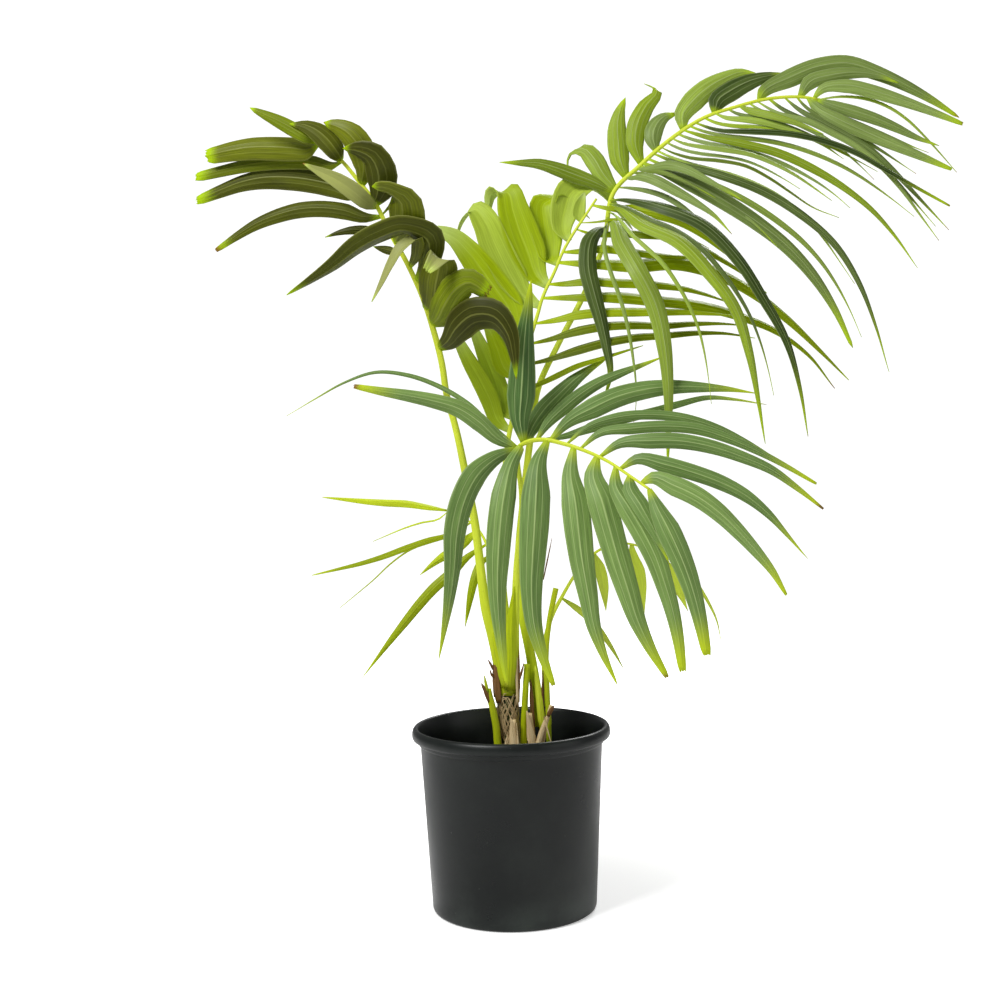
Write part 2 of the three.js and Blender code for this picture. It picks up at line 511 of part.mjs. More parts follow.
// The pot: a tapered wall with a flat floor, a chamfered foot and a thick turned-over rim.
function pot() {
  const underRim = POT_HEIGHT - RIM_DEPTH;
  const round = 4;
  let body = lathe([
    [0, 0],
    [POT_BASE_RADIUS - FOOT_CHAMFER, 0],
    [POT_BASE_RADIUS, FOOT_CHAMFER],
    [wallRadiusAt(underRim), underRim],
    [rimRadius - 1, underRim + 0.5],
    [rimRadius, underRim + 3],
    [rimRadius - 0.6, POT_HEIGHT - round],
    [rimRadius - round, POT_HEIGHT],
    [rimInnerRadius, POT_HEIGHT - 0.6],
    [wallRadiusAt(underRim) - POT_WALL, underRim - round],
    [POT_BASE_RADIUS - POT_WALL, POT_FLOOR],
    [0, POT_FLOOR],
  ]);
  for (let i = 0; i < DRAIN_HOLES; i++) {
    const angle = (2 * Math.PI * i) / DRAIN_HOLES;
    const hole = new THREE.CylinderGeometry(DRAIN_HOLE_RADIUS, DRAIN_HOLE_RADIUS, 3 * POT_FLOOR, 12);
    hole.rotateX(Math.PI / 2);
    hole.translate(
      drainCircleRadius * Math.cos(angle),
      drainCircleRadius * Math.sin(angle),
      POT_FLOOR / 2,
    );
    body = body.subtract(solid(hole));
  }
  return body;
}

// The potting mix, clear of the wall all round, a little higher round the stems.
function pottingMix() {
  const inside = (z) => {
    const share = (z - POT_FLOOR) / (POT_HEIGHT - RIM_DEPTH - 4 - POT_FLOOR);
    const top = wallRadiusAt(POT_HEIGHT - RIM_DEPTH);
    return THREE.MathUtils.lerp(POT_BASE_RADIUS, top, share) - POT_WALL - 1;
  };
  const floor = POT_FLOOR + CLEARANCE;
  return lathe([
    [0, floor],
    [inside(floor), floor],
    [inside(mixTop - 6), mixTop - 6],
    [0.55 * POT_BASE_RADIUS, mixTop - 2],
    [0, mixTop + 1],
  ]);
}

const stalkCurves = {};
const socketed = {};
for (const [name, [foot, tip, ...points]] of Object.entries(STALKS)) {
  const curve = curveThrough(points.map(plantPoint));
  const steps = Math.round(curve.getLength() / 15);
  stalkCurves[name] = curve;
  socketed[name] = rod(curve, foot * PLANT_SCALE, tip * PLANT_SCALE, CLEARANCE, STALK_SIDES, steps);
  add(
    name + "_frond_stalk",
    rod(curve, foot * PLANT_SCALE, tip * PLANT_SCALE, 0, STALK_SIDES, steps),
    COLOURS.stalk,
    0.45,
  );
}

function stalkRadiusAt(name, s) {
  const [foot, tip] = STALKS[name];
  return THREE.MathUtils.lerp(foot, tip, s) * PLANT_SCALE;
}

// A row: its leaflets joined by a slim ridge that runs beside the midrib, clear of the stalk.
function row({ stalk, side, plane, leaflets }) {
  const curve = stalkCurves[stalk];
  const toSide = new THREE.Vector3(...side).normalize();
  const places = leaflets.map((spec) => nearestOn(curve, spec[3]));
  const beside = (s) => {
    const along = curve.getTangentAt(s);
    const out = toSide.clone().addScaledVector(along, -toSide.dot(along)).normalize();
    const distance = stalkRadiusAt(stalk, s) + CLEARANCE + 0.8 * RIDGE_STRIP_RADIUS;
    return curve.getPointAt(s).addScaledVector(out, distance);
  };
  const first = Math.max(Math.min(...places) - 0.004, 0);
  const last = Math.min(Math.max(...places) + 0.004, 1);
  const steps = Math.max(4, Math.round(((last - first) * curve.getLength()) / 22));
  const stripPoints = [];
  for (let i = 0; i <= steps; i++) stripPoints.push(beside(first + ((last - first) * i) / steps));
  let body = rod(
    curveThrough(stripPoints),
    RIDGE_STRIP_RADIUS,
    RIDGE_STRIP_RADIUS,
    0,
    6,
    steps,
  );
  leaflets.forEach((spec, i) => {
    const path = spec.slice(4).map((point) => laidOut(point, plane));
    body = body.add(leaflet([...spec.slice(0, 4), ...path], beside(places[i]), 0));
  });
  return biggest(body.subtract(socketed[stalk]));
}

for (const [name, spec] of Object.entries(ROWS)) add(name, row(spec), spec.colour, 0.5);

for (const [name, spec] of Object.entries(FRONT_LEAFLETS)) {
  const curve = stalkCurves.front;
  const place = nearestOn(curve, spec[3]);
  const start = stalkRadiusAt("front", place) + 2 * CLEARANCE;
  const body = leaflet(spec, curve.getPointAt(place), start);
  add("front_frond_leaflet_" + name, biggest(body.subtract(socketed.front)), COLOURS.deep, 0.5);
}

// Stems and old leaf bases: radius at the foot, radius at the top, sides, and the points.
const mainAxis = curveThrough([
  [MAIN_STEM_X, 0, MIX_SURFACE_IN_PLANT_FRAME - ROOT_DEPTH],
  [MAIN_STEM_X, 0, 200],
  [MAIN_STEM_X, 0, MAIN_STEM_TOP],
].map(plantPoint));
const stemTop = MAIN_STEM_RADIUS * PLANT_SCALE;
const stemFoot = stemTop + PLANT_SCALE;
const mainStem = rod(mainAxis, stemFoot, stemTop, 0, STEM_SIDES, 6);
const mainRoom = rod(mainAxis, stemFoot, stemTop, CLEARANCE, STEM_SIDES, 6);
const fibreAxis = curveThrough([
  [MAIN_STEM_X, 0, MIX_SURFACE_IN_PLANT_FRAME + 4],
  [MAIN_STEM_X, 0, 200],
  [MAIN_STEM_X, 0, MAIN_STEM_TOP - 2],
].map(plantPoint));
const fibreOuter = rod(fibreAxis, stemFoot, stemTop, CLEARANCE + FIBRE_THICKNESS, STEM_SIDES, 5);
const sheathAxis = curveThrough([
  [-3, 1, MAIN_STEM_TOP + 3 * CLEARANCE],
  [-3, 1, 300],
  [-5, 1, CROWN_SHEATH_TOP],
].map(plantPoint));
const sheathTop = CROWN_SHEATH_RADIUS * PLANT_SCALE;
let crownSheath = rod(sheathAxis, sheathTop + PLANT_SCALE, sheathTop, 0, STEM_SIDES, 4);
for (const name of ["left", "centre", "front", "low_left"]) {
  crownSheath = crownSheath.subtract(socketed[name]);
}

const rightAxis = curveThrough([
  [44, 8, MIX_SURFACE_IN_PLANT_FRAME - ROOT_DEPTH],
  [43, 8, 205],
  [40, 8.5, 246],
].map(plantPoint));
const rightFoot = RIGHT_STEM_RADIUS * PLANT_SCALE;
const rightTop = 0.84 * rightFoot;
let rightStem = rod(rightAxis, rightFoot, rightTop, 0, STEM_SIDES, 4);
const rightRoom = rod(rightAxis, rightFoot, rightTop, CLEARANCE, STEM_SIDES, 4);
for (const name of ["tall", "low_right"]) rightStem = rightStem.subtract(socketed[name]);

// Old leaf bases and a slim shoot, rooted in the mix round the stems.
const SMALL_PIECES = {
  slim_green_shoot: [
    4.8, 3.8, COLOURS.sheath,
    [15.5, -10, 150], [16, -10, 215], [18.5, -9, 262], [22, -8, 304],
  ],
  yellow_leaf_stub: [
    5.2, 4.2, COLOURS.stub,
    [-16.5, -16.2, 150], [-17, -16.2, 200], [-20, -15, 238], [-28.5, -13, 274],
  ],
  dried_sheath_front: [
    4.2, 2.6, COLOURS.dry,
    [2, -20, 150], [3, -20, 200], [4, -19, 236],
  ],
  dried_stub_orange: [
    5, 3.4, COLOURS.dry,
    [29, -13, 150], [26.5, -15, 205], [23, -18, 243],
  ],
  dried_stub_crossing: [
    3.4, 2.2, COLOURS.dry,
    [33, -22, 152], [40, -19, 215], [51, -16, 252],
  ],
  yellow_cut_stalk: [
    3.2, 3.6, COLOURS.stub,
    [48, -9, 150], [47, -7, 250], [46, -4, 310], [50, 0, 350], [61, 2, 398],
  ],
};

let mix = pottingMix().subtract(mainRoom).subtract(rightRoom);
for (const [name, [foot, top, colour, ...points]] of Object.entries(SMALL_PIECES)) {
  const curve = curveThrough(points.map(besideStem).map(plantPoint));
  const steps = Math.max(4, Math.round(curve.getLength() / 26));
  add(name, rod(curve, foot * PLANT_SCALE, top * PLANT_SCALE, 0, 10, steps), colour, 0.7);
  mix = mix.subtract(rod(curve, foot * PLANT_SCALE, top * PLANT_SCALE, CLEARANCE, 10, steps));
}

add("nursery_pot", pot(), COLOURS.pot, 0.5);
add("potting_mix", mix, COLOURS.mix, 0.95);
add("main_stem", mainStem, COLOURS.stem, 0.7);
add("fibre_netting", fibreOuter.subtract(mainRoom), COLOURS.fibre, 0.9);
add("crown_sheath", crownSheath, COLOURS.sheath, 0.5);
add("right_stem", rightStem, COLOURS.stem, 0.6);

export default palm;
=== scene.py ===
"""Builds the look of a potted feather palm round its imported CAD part.

Each leaflet, stalk and stem is traced from the CAD node that it replaces and rebuilt finely there.
Lengths are in metres in the part's own frame: +Z up, the origin under the middle of the pot.
"""

import itertools
import math
import random

import bmesh
import bpy
import numpy as np
from bpy.props import FloatProperty, FloatVectorProperty, IntProperty, PointerProperty
from mathutils import Matrix, Vector


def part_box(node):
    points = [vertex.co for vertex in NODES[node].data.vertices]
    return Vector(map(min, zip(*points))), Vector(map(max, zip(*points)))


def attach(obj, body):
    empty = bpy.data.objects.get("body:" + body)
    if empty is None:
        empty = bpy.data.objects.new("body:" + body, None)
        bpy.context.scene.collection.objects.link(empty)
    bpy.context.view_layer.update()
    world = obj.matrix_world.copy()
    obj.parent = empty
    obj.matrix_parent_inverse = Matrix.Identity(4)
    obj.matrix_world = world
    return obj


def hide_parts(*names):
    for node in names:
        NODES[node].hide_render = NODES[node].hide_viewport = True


bl_info = {
    "name": "Potted palm",
    "version": (1, 0, 0),
    "blender": (4, 5, 0),
    "location": "3D View > Sidebar > Palm",
    "description": "Builds a potted feather palm round its CAD part",
    "category": "Add Mesh",
}

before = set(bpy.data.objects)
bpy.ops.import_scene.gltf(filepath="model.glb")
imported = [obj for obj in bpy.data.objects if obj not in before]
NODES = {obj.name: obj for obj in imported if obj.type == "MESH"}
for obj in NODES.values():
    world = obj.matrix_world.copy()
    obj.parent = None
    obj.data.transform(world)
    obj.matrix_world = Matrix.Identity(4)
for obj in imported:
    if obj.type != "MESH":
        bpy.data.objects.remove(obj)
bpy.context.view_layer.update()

MM = 0.001
# Points of a CAD node closer than this are the same point.
WELD = 1e-5
# How far apart two corners of the last ring before a leaflet's tip can be.
TIP_SPAN = 1.6 * MM
# A leaflet that ends less far than this from its last ring isn't one.
LEAST_TIP = 0.1 * MM
LEAST_RINGS = 3
# A leaflet is blunt where its last ring keeps more than this share of its widest.
BLUNT_SHARE = 0.3
# Half widths at the stalk, and at a blunt and a pointed tip, as shares of the nearest ring's.
STALK_END, BLUNT_END, POINTED_END = 0.32, 0.8, 0.1
# Sides of a stalk's CAD node, and how far a point of its flat foot can be out of plane.
STALK_SIDES = 8
CAP_FLATNESS = 2e-5
# Points along a traced stalk when a leaflet looks for its place on it.
STALK_STEPS = 400
# How much a leaflet prefers a near point of the stalk to one straight ahead of it.
NEAR_WEIGHT = 1.8
STALKS = {
    "left": "left_frond_stalk",
    "centre": "centre_frond_stalk",
    "tall": "tall_frond_stalk",
    "front": "front_frond_stalk",
    "low_left": "low_left_frond_stalk",
    "low_right": "low_right_frond_stalk",
}


def linear(hexcode):
    """A colour written as RRGGBB, as the linear values that shaders take."""
    out = []
    for i in (0, 2, 4):
        c = int(hexcode[i : i + 2], 16) / 255
        out.append(c / 12.92 if c <= 0.04045 else ((c + 0.055) / 1.055) ** 2.4)
    return (*out, 1.0)


# ---------------------------------------------------------------- curves


def path_shares(points):
    """Each point's share of the length along a path, and that length."""
    steps = np.linalg.norm(np.diff(points, axis=0), axis=1)
    along = np.concatenate([[0], np.cumsum(steps)])
    return along / along[-1], along[-1]


def smooth(values, shares, at):
    """Values at new shares, on smooth curves through the given values."""
    values = np.asarray(values, float)
    flat = values.ndim == 1
    if flat:
        values = values[:, None]
    gaps = np.diff(shares)[:, None]
    slopes = np.diff(values, axis=0) / gaps
    tangents = np.empty_like(values)
    tangents[1:-1] = (slopes[:-1] * gaps[1:] + slopes[1:] * gaps[:-1]) / (gaps[1:] + gaps[:-1])
    tangents[0] = slopes[0]
    tangents[-1] = slopes[-1]
    i = np.clip(np.searchsorted(shares, at, side="right") - 1, 0, len(shares) - 2)
    g = gaps[i]
    t = (at - shares[i])[:, None] / g
    out = (
        (2 * t**3 - 3 * t**2 + 1) * values[i]
        + (t**3 - 2 * t**2 + t) * g * tangents[i]
        + (3 * t**2 - 2 * t**3) * values[i + 1]
        + (t**3 - t**2) * g * tangents[i + 1]
    )
    return out[:, 0] if flat else out


def unit(v):
    """Vectors at a length of one."""
    v = np.asarray(v, float)
    return v / np.maximum(np.linalg.norm(v, axis=-1, keepdims=True), 1e-12)


# ---------------------------------------------------------------- tracing the CAD nodes


def links_of(node):
    """A CAD node's points, and the points that each is joined to."""
    bm = bmesh.new()
    bm.from_mesh(NODES[node].data)
    bmesh.ops.remove_doubles(bm, verts=bm.verts, dist=WELD)
    bm.verts.ensure_lookup_table()
    points = np.array([v.co[:] for v in bm.verts])
    links = [[e.other_vert(v).index for e in v.link_edges] for v in bm.verts]
    bm.free()
    return points, links


def in_order(ring, links):
    """Four points of a ring in order round it, or None if they don't make one."""
    first = ring[0]
    beside = [p for p in ring[1:] if p in links[first]]
    if len(beside) != 2:
        return None
    last = [p for p in ring[1:] if p not in beside]
    return [first, beside[0], last[0], beside[1]]


def matched(ring, before, points):
    """The ring turned so that each point follows on from its own point of the ring before."""
    best, least = None, None
    for order in (ring, ring[::-1]):
        for k in range(4):
            turned = order[k:] + order[:k]
            cost = np.linalg.norm(points[turned] - points[before], axis=1).sum()
            if least is None or cost < least:
                best, least = turned, cost
    return best


def rings_from(tip, points, links):
    """The rings of four points that follow one another from a leaflet's tip to its stalk."""
    if len(links[tip]) != 4:
        return []
    ring = in_order(list(links[tip]), links)
    if ring is None:
        return []
    if min(np.linalg.norm(points[ring[i]] - points[ring[i + 2]]) for i in (0, 1)) > TIP_SPAN:
        return []
    seen = {tip, *ring}
    rings = [ring]
    while True:
        ahead = {p for r in rings[-1] for p in links[r]} - seen
        following = in_order(sorted(ahead), links) if len(ahead) == 4 else None
        if following is None:
            return rings
        rings.append(matched(following, rings[-1], points))
        seen |= ahead


def trace_leaflets(node, stalk):
    """Every leaflet of a CAD node, from stalk to tip, in its order along the stalk."""
    points, links = links_of(node)
    leaflets = []
    for tip in range(len(points)):
        rings = rings_from(tip, points, links)
        if len(rings) < LEAST_RINGS:
            continue
        corners = points[np.array(rings)]
        wide = np.linalg.norm(corners[:, 0] - corners[:, 2], axis=1).sum()
        tall = np.linalg.norm(corners[:, 1] - corners[:, 3], axis=1).sum()
        if wide < tall:
            corners = corners[:, [1, 2, 3, 0]]
        left, right = corners[:, 0], corners[:, 2]
        ridge = (corners[:, 1] + corners[:, 3]) / 2
        middle = (left + right) / 2
        to_tip = points[tip] - middle[0]
        if np.linalg.norm(to_tip) < LEAST_TIP or np.dot(to_tip, middle[0] - middle[1]) < 0:
            continue
        half = np.linalg.norm(right - left, axis=1) / 2
        up = unit(ridge - middle)
        side = unit(right - left)
        foot, share = stalk_point(stalk, middle[-1], middle[-1] - middle[-2])
        blunt = half[0] / half.max() > BLUNT_SHARE
        tip_half = half[0] * (BLUNT_END if blunt else POINTED_END)
        leaflets.append(
            {
                "place": share,
                "line": np.vstack([foot, middle[::-1], points[tip]]),
                "half": np.concatenate([[STALK_END * half[-1]], half[::-1], [tip_half]]),
                "side": np.vstack([side[-1], side[::-1], side[0]]),
                "up": np.vstack([up[-1], up[::-1], up[0]]),
                "blunt": blunt,
            }
        )
    leaflets.sort(key=lambda leaf: leaf["place"])
    return leaflets


# A narrow leaflet between two others: its points, how far it sets back from them, and the
# ranges of its length as a share of theirs and of its half width.
BETWEEN_POINTS = 12
BETWEEN_SETBACK = 8 * MM
BETWEEN_LENGTHS = (0.75, 0.98)
BETWEEN_WIDTHS = (0.0028, 0.005)


def between(first, second, rng):
    """A narrow leaflet that lies between two neighbours of a row."""
    shares = np.linspace(0, 1, BETWEEN_POINTS)
    lines, sides, ups = [], [], []
    for leaf in (first, second):
        own, _ = path_shares(leaf["line"])
        lines.append(smooth(leaf["line"], own, shares))
        sides.append(smooth(leaf["side"], own, shares))
        ups.append(smooth(leaf["up"], own, shares))
    sides[1] = sides[1] * np.sign((sides[0] * sides[1]).sum())
    ups[1] = ups[1] * np.sign((ups[0] * ups[1]).sum())
    lean = rng.uniform(0.35, 0.65)
    line = lines[0] * lean + lines[1] * (1 - lean)
    line[:, 1] += BETWEEN_SETBACK * np.sin(np.pi * shares)
    length = rng.uniform(*BETWEEN_LENGTHS)
    line = smooth(line, path_shares(line)[0], shares * length)
    width = rng.uniform(*BETWEEN_WIDTHS)
    half = width * np.clip(np.sin(np.pi * np.clip(0.12 + 0.9 * shares, 0, 1)), 0.06, 1)
    return {
        "place": first["place"],
        "line": line,
        "half": half,
        "side": unit(sides[0] + sides[1]),
        "up": unit(ups[0] + ups[1]),
        "blunt": False,
    }


def foot_ring(node, points, links):
    """The eight points of the flat cap at a stalk's foot, which its lowest point belongs to."""
    lowest = int(points[:, 2].argmin())
    offsets = points - points[lowest]
    near = sorted(range(len(points)), key=lambda i: np.linalg.norm(offsets[i]))[: 2 * STALK_SIDES]
    cap = None
    for i, j in itertools.permutations(near[1:], 2):
        if i > j or j not in links[i] or i not in links[lowest] or j not in links[lowest]:
            continue
        normal = np.cross(offsets[i], offsets[j])
        if np.linalg.norm(normal) < 1e-12:
            continue
        flat = [k for k in near if abs(np.dot(offsets[k], unit(normal))) < CAP_FLATNESS]
        if len(flat) >= STALK_SIDES and (cap is None or len(flat) < len(cap)):
            cap = flat
    if cap is None:
        raise RuntimeError(f"the foot of {node} can't be traced")
    return set(cap[:STALK_SIDES])


def trace_stalk(node):
    """A stalk's middle line and radii from foot to tip, from the rings of its CAD node."""
    points, links = links_of(node)
    ring = foot_ring(node, points, links)
    seen = set(ring)
    middles, radii = [], []
    while ring:
        corners = points[sorted(ring)]
        middle = corners.mean(0)
        middles.append(middle)
        radii.append(np.linalg.norm(corners - middle, axis=1).mean())
        ring = {p for r in ring for p in links[r]} - seen
        seen |= ring
    return np.array(middles), np.array(radii)


def trace_upright(node, levels):
    """The middles and radii of level cuts through an upright CAD node."""
    mesh = NODES[node].data
    points = np.array([v.co[:] for v in mesh.vertices])
    edges = np.array([e.vertices[:] for e in mesh.edges])
    low, high = points[:, 2].min(), points[:, 2].max()
    middles, radii = [], []
    for share in np.linspace(0.01, 0.99, levels):
        z = low + share * (high - low)
        a, b = points[edges[:, 0]], points[edges[:, 1]]
        cut = (a[:, 2] - z) * (b[:, 2] - z) < 0
        t = ((z - a[cut, 2]) / (b[cut, 2] - a[cut, 2]))[:, None]
        hits = a[cut] + t * (b[cut] - a[cut])
        middle = (hits.min(0) + hits.max(0)) / 2
        middles.append(middle)
        radii.append(np.ptp(hits[:, :2], axis=0).mean() / 2)
    return np.array(middles), np.array(radii)


_stalk_lines = {}


def stalk_line(name):
    """A stalk's fine middle line and radii, and each point's share of its length."""
    if name not in _stalk_lines:
        middles, radii = trace_stalk(STALKS[name])
        shares, _ = path_shares(middles)
        at = np.linspace(0, 1, STALK_STEPS)
        _stalk_lines[name] = (smooth(middles, shares, at), smooth(radii, shares, at), at)
    return _stalk_lines[name]


def stalk_point(name, start, heading):
    """The point of a stalk that a leaflet coming in along heading grows from, and its share."""
    line, _, at = stalk_line(name)
    offset = line - start
    reach = np.linalg.norm(offset, axis=1)
    turn = (offset @ unit(heading)) / np.maximum(reach, 1e-9)
    best = int((reach * (NEAR_WEIGHT - turn)).argmin())
    return line[best], at[best]


# ---------------------------------------------------------------- meshes


def new_object(name, verts, faces, attributes, smooth_faces=True):
    """A mesh object with float attributes on its points."""
    mesh = bpy.data.meshes.new(name)
    mesh.from_pydata([tuple(v) for v in verts], [], faces)
    mesh.validate()
    for key, values in attributes.items():
        attribute = mesh.attributes.new(key, "FLOAT", "POINT")
        attribute.data.foreach_set("value", np.asarray(values, np.float32))
    mesh.polygons.foreach_set("use_smooth", [smooth_faces] * len(mesh.polygons))
    mesh.update()
    obj = bpy.data.objects.new(name, mesh)
    bpy.context.scene.collection.objects.link(obj)
    return obj


def place(obj, material, slot, *nodes):
    """Gives a finished piece its material, its body and the CAD nodes it stands for; the slot is
    not used.
    """
    obj.data.materials.clear()
    obj.data.materials.append(material)
    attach(obj, "root")
    if nodes:
        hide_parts(*nodes)
    return obj


# Where a leaflet's side ribs run, from its middle (0) to its edge (1).
SIDE_RIB = 0.45
# Places across a leaflet, from one edge (-1) over its middle to the other (1).
HALF_COLUMNS = (0.12, 0.32, SIDE_RIB, 0.58, 0.8, 1)
COLUMNS = np.array([*(-place for place in reversed(HALF_COLUMNS)), 0, *HALF_COLUMNS])
# How high each rib is beside the middle one.
RIBS = {0.0: 1.0, SIDE_RIB: 0.45, -SIDE_RIB: 0.45}
# Length between a leaflet's cross rows, and the fewest and most rows it has.
ROW_LENGTH, ROW_LIMITS = 7 * MM, (14, 56)
LEAST_HALF = 0.35 * MM
# A leaflet's edge waves by this share of its width, over this length.
WAVE, WAVE_LENGTH = 0.025, 23 * MM
# A taper widens a leaflet up to where its share of the length, squared, is this.
TAPER_MIDDLE = 0.28
# How high the fold stands, as a share of the half width, and how sharp it is.
FOLD, FOLD_POWER = 0.34, 1.35
# The highest rib, by itself and as a share of the half width, and what shows of it underneath.
RIB_HEIGHT, RIB_SHARE, RIB_BELOW = 0.5 * MM, 0.06, 0.4
# Where a blunt end starts to be torn, and how far, as a share of the half width and at most.
TORN_FROM, TORN_SHARE, TORN_MOST = 0.9, 0.35, 3 * MM


def blade_faces(count, columns):
    """The faces of a closed sheet of count rows, its upper points first and then its lower ones."""
    size = count * columns
    faces = []
    for i in range(count - 1):
        for j in range(columns - 1):
            a, b = i * columns + j, (i + 1) * columns + j
            faces.append((a, a + 1, b + 1, b))
            faces.append((size + a, size + b, size + b + 1, size + a + 1))
        left, right = i * columns, (i + 1) * columns - 1
        faces.append((left, left + columns, size + left + columns, size + left))
        faces.append((right + columns, right, size + right, size + right + columns))
    for j in range(columns - 1):
        faces.append((j + 1, j, size + j, size + j + 1))
        end = (count - 1) * columns + j
        faces.append((end, end + 1, size + end + 1, size + end))
    return faces


def blade(name, leaf, thickness, tint, lime, dry, under, rng, widen=1.0, taper=0.0):
    """A closed thin leaflet: folded along its middle, ribbed, and worn at its tip."""
    shares, length = path_shares(leaf["line"])
    count = int(np.clip(length / ROW_LENGTH, *ROW_LIMITS))
    at = np.linspace(0, 1, count)
    line = smooth(leaf["line"], shares, at)
    half = np.clip(np.interp(at, shares, leaf["half"]), LEAST_HALF, None) * widen
    half *= 1 + WAVE * np.sin(at * length / WAVE_LENGTH + rng.uniform(0, 6))
    half *= 1 + taper * (TAPER_MIDDLE - at**2)
    ahead = unit(np.gradient(line, axis=0))
    side = smooth(leaf["side"], shares, at)
    side = unit(side - (side * ahead).sum(1, keepdims=True) * ahead)
    up = unit(np.cross(ahead, side))
    traced_up = smooth(leaf["up"], shares, at)
    if (traced_up * up).sum() < 0:
        up = -up
    verts, across, along = [], [], []
    torn = rng.uniform(-1, 1, len(COLUMNS)) if leaf["blunt"] else np.zeros(len(COLUMNS))
    for layer in (0, 1):
        for i, h in enumerate(half):
            near_tip = np.clip((at[i] - TORN_FROM) / (1 - TORN_FROM), 0, 1)
            for j, a in enumerate(COLUMNS):
                rise = FOLD * h * (1 - abs(a) ** FOLD_POWER)
                rib = RIBS.get(float(a), 0.0) * min(RIB_HEIGHT, RIB_SHARE * h)
                p = line[i] + side[i] * a * h + up[i] * (rise + rib * (RIB_BELOW if layer else 1))
                p = p + ahead[i] * torn[j] * near_tip * min(TORN_SHARE * h, TORN_MOST)
                if layer:
                    p = p - up[i] * thickness
                verts.append(p)
                across.append(a)
                along.append(at[i])
    faces = blade_faces(count, len(COLUMNS))
    if np.dot(np.cross(side[0], ahead[0]), up[0]) < 0:
        faces = [f[::-1] for f in faces]
    total = len(verts)
    below = np.arange(total) >= (0 if under else total // 2)
    attributes = {
        "across": across,
        "along": along,
        "metres": np.array(along) * length,
        "tint": np.full(total, tint),
        "lime": np.full(total, lime),
        "dry": np.full(total, dry),
        "below": below,
    }
    return new_object(name, verts, faces, attributes)


def ring_faces(rings, sides):
    """The faces of a solid made of rings of points, closed flat at both ends."""
    faces = []
    for i in range(rings - 1):
        for j in range(sides):
            k = (j + 1) % sides
            a, b = i * sides, (i + 1) * sides
            faces.append((a + j, a + k, b + k, b + j))
    faces.append(tuple(range(sides))[::-1])
    last = (rings - 1) * sides
    faces.append(tuple(range(last, last + sides)))
    return faces


def tube(name, line, radii, sides, wobble=None, tint=0.5):
    """A closed round tube along a line, with its own angle and length kept as attributes."""
    ahead = unit(np.gradient(line, axis=0))
    side = unit(np.cross(ahead[0], [0.3, 1, 0.1]))
    verts, across, metres = [], [], []
    _, length = path_shares(line)
    for i in range(len(line)):
        side = unit(side - np.dot(side, ahead[i]) * ahead[i])
        up = np.cross(ahead[i], side)
        for j in range(sides):
            angle = 2 * math.pi * j / sides
            r = radii[i] * (1 + (wobble(i, angle) if wobble else 0))
            verts.append(line[i] + r * (side * math.cos(angle) + up * math.sin(angle)))
            across.append(math.cos(angle))
            metres.append(i / (len(line) - 1) * length)
    metres = np.array(metres)
    attributes = {
        "across": across,
        "metres": metres,
        "along": metres / length,
        "tint": np.full(len(verts), tint),
    }
    return new_object(name, verts, ring_faces(len(line), sides), attributes)


def joined(name, objects):
    """Several mesh objects made one, under a new name."""
    bpy.ops.object.select_all(action="DESELECT")
    for o in objects:
        o.select_set(True)
    bpy.context.view_layer.objects.active = objects[0]
    bpy.ops.object.join()
    objects[0].name = name
    objects[0].data.name = name
    return objects[0]


# ---------------------------------------------------------------- shader nodes


# The Mix node's sockets for colours: its factor, its two colours and its result.
COLOUR_MIX_INPUTS = (0, 6, 7)
COLOUR_MIX_RESULT = 2


class Tree:
    """Short calls for the shader nodes that the materials and groups are made of."""

    def __init__(self, tree):
        self.tree = tree

    def put(self, socket, value):
        if isinstance(value, bpy.types.NodeSocket):
            self.tree.links.new(value, socket)
        elif value is not None:
            socket.default_value = value

    def node(self, kind, **values):
        made = self.tree.nodes.new(kind)
        for key, value in values.items():
            self.put(made.inputs[key.replace("_", " ")], value)
        return made

    def math(self, operation, a, b=None, clamp=False):
        made = self.tree.nodes.new("ShaderNodeMath")
        made.operation = operation
        made.use_clamp = clamp
        for socket, value in zip(made.inputs, (a, b)):
            self.put(socket, value)
        return made.outputs[0]

    def times(self, a, b):
        return self.math("MULTIPLY", a, b)

    def mix(self, factor, a, b, blend="MIX"):
        made = self.tree.nodes.new("ShaderNodeMix")
        made.data_type = "RGBA"
        made.blend_type = blend
        for socket, value in zip(COLOUR_MIX_INPUTS, (factor, a, b)):
            self.put(made.inputs[socket], value)
        return made.outputs[COLOUR_MIX_RESULT]

    def span(self, value, low, high, to_low=0.0, to_high=1.0):
        made = self.tree.nodes.new("ShaderNodeMapRange")
        made.interpolation_type = "SMOOTHSTEP"
        for key, v in zip(range(5), (value, low, high, to_low, to_high)):
            self.put(made.inputs[key], v)
        return made.outputs[0]

    def attribute(self, name):
        made = self.tree.nodes.new("ShaderNodeAttribute")
        made.attribute_name = name
        return made.outputs["Fac"]

    def vector(self, x, y, z):
        return self.node("ShaderNodeCombineXYZ", X=x, Y=y, Z=z).outputs[0]

    def noise(self, vector, scale, detail=3.0, rough=0.55):
        values = {"Vector": vector, "Scale": scale, "Detail": detail, "Roughness": rough}
        return self.node("ShaderNodeTexNoise", **values).outputs["Fac"]

    def place(self):
        return self.tree.nodes.new("ShaderNodeTexCoord").outputs["Object"]


def new_group(name, inputs, outputs):
    """An empty node group with named sockets, and its tree, inputs and outputs."""
    group = bpy.data.node_groups.new(name, "ShaderNodeTree")
    for key, kind in inputs.items():
        group.interface.new_socket(key, in_out="INPUT", socket_type="NodeSocket" + kind)
    for key, kind in outputs.items():
        group.interface.new_socket(key, in_out="OUTPUT", socket_type="NodeSocket" + kind)
    tree = Tree(group)
    given = group.nodes.new("NodeGroupInput").outputs
    wanted = group.nodes.new("NodeGroupOutput").inputs
    return group, tree, given, wanted


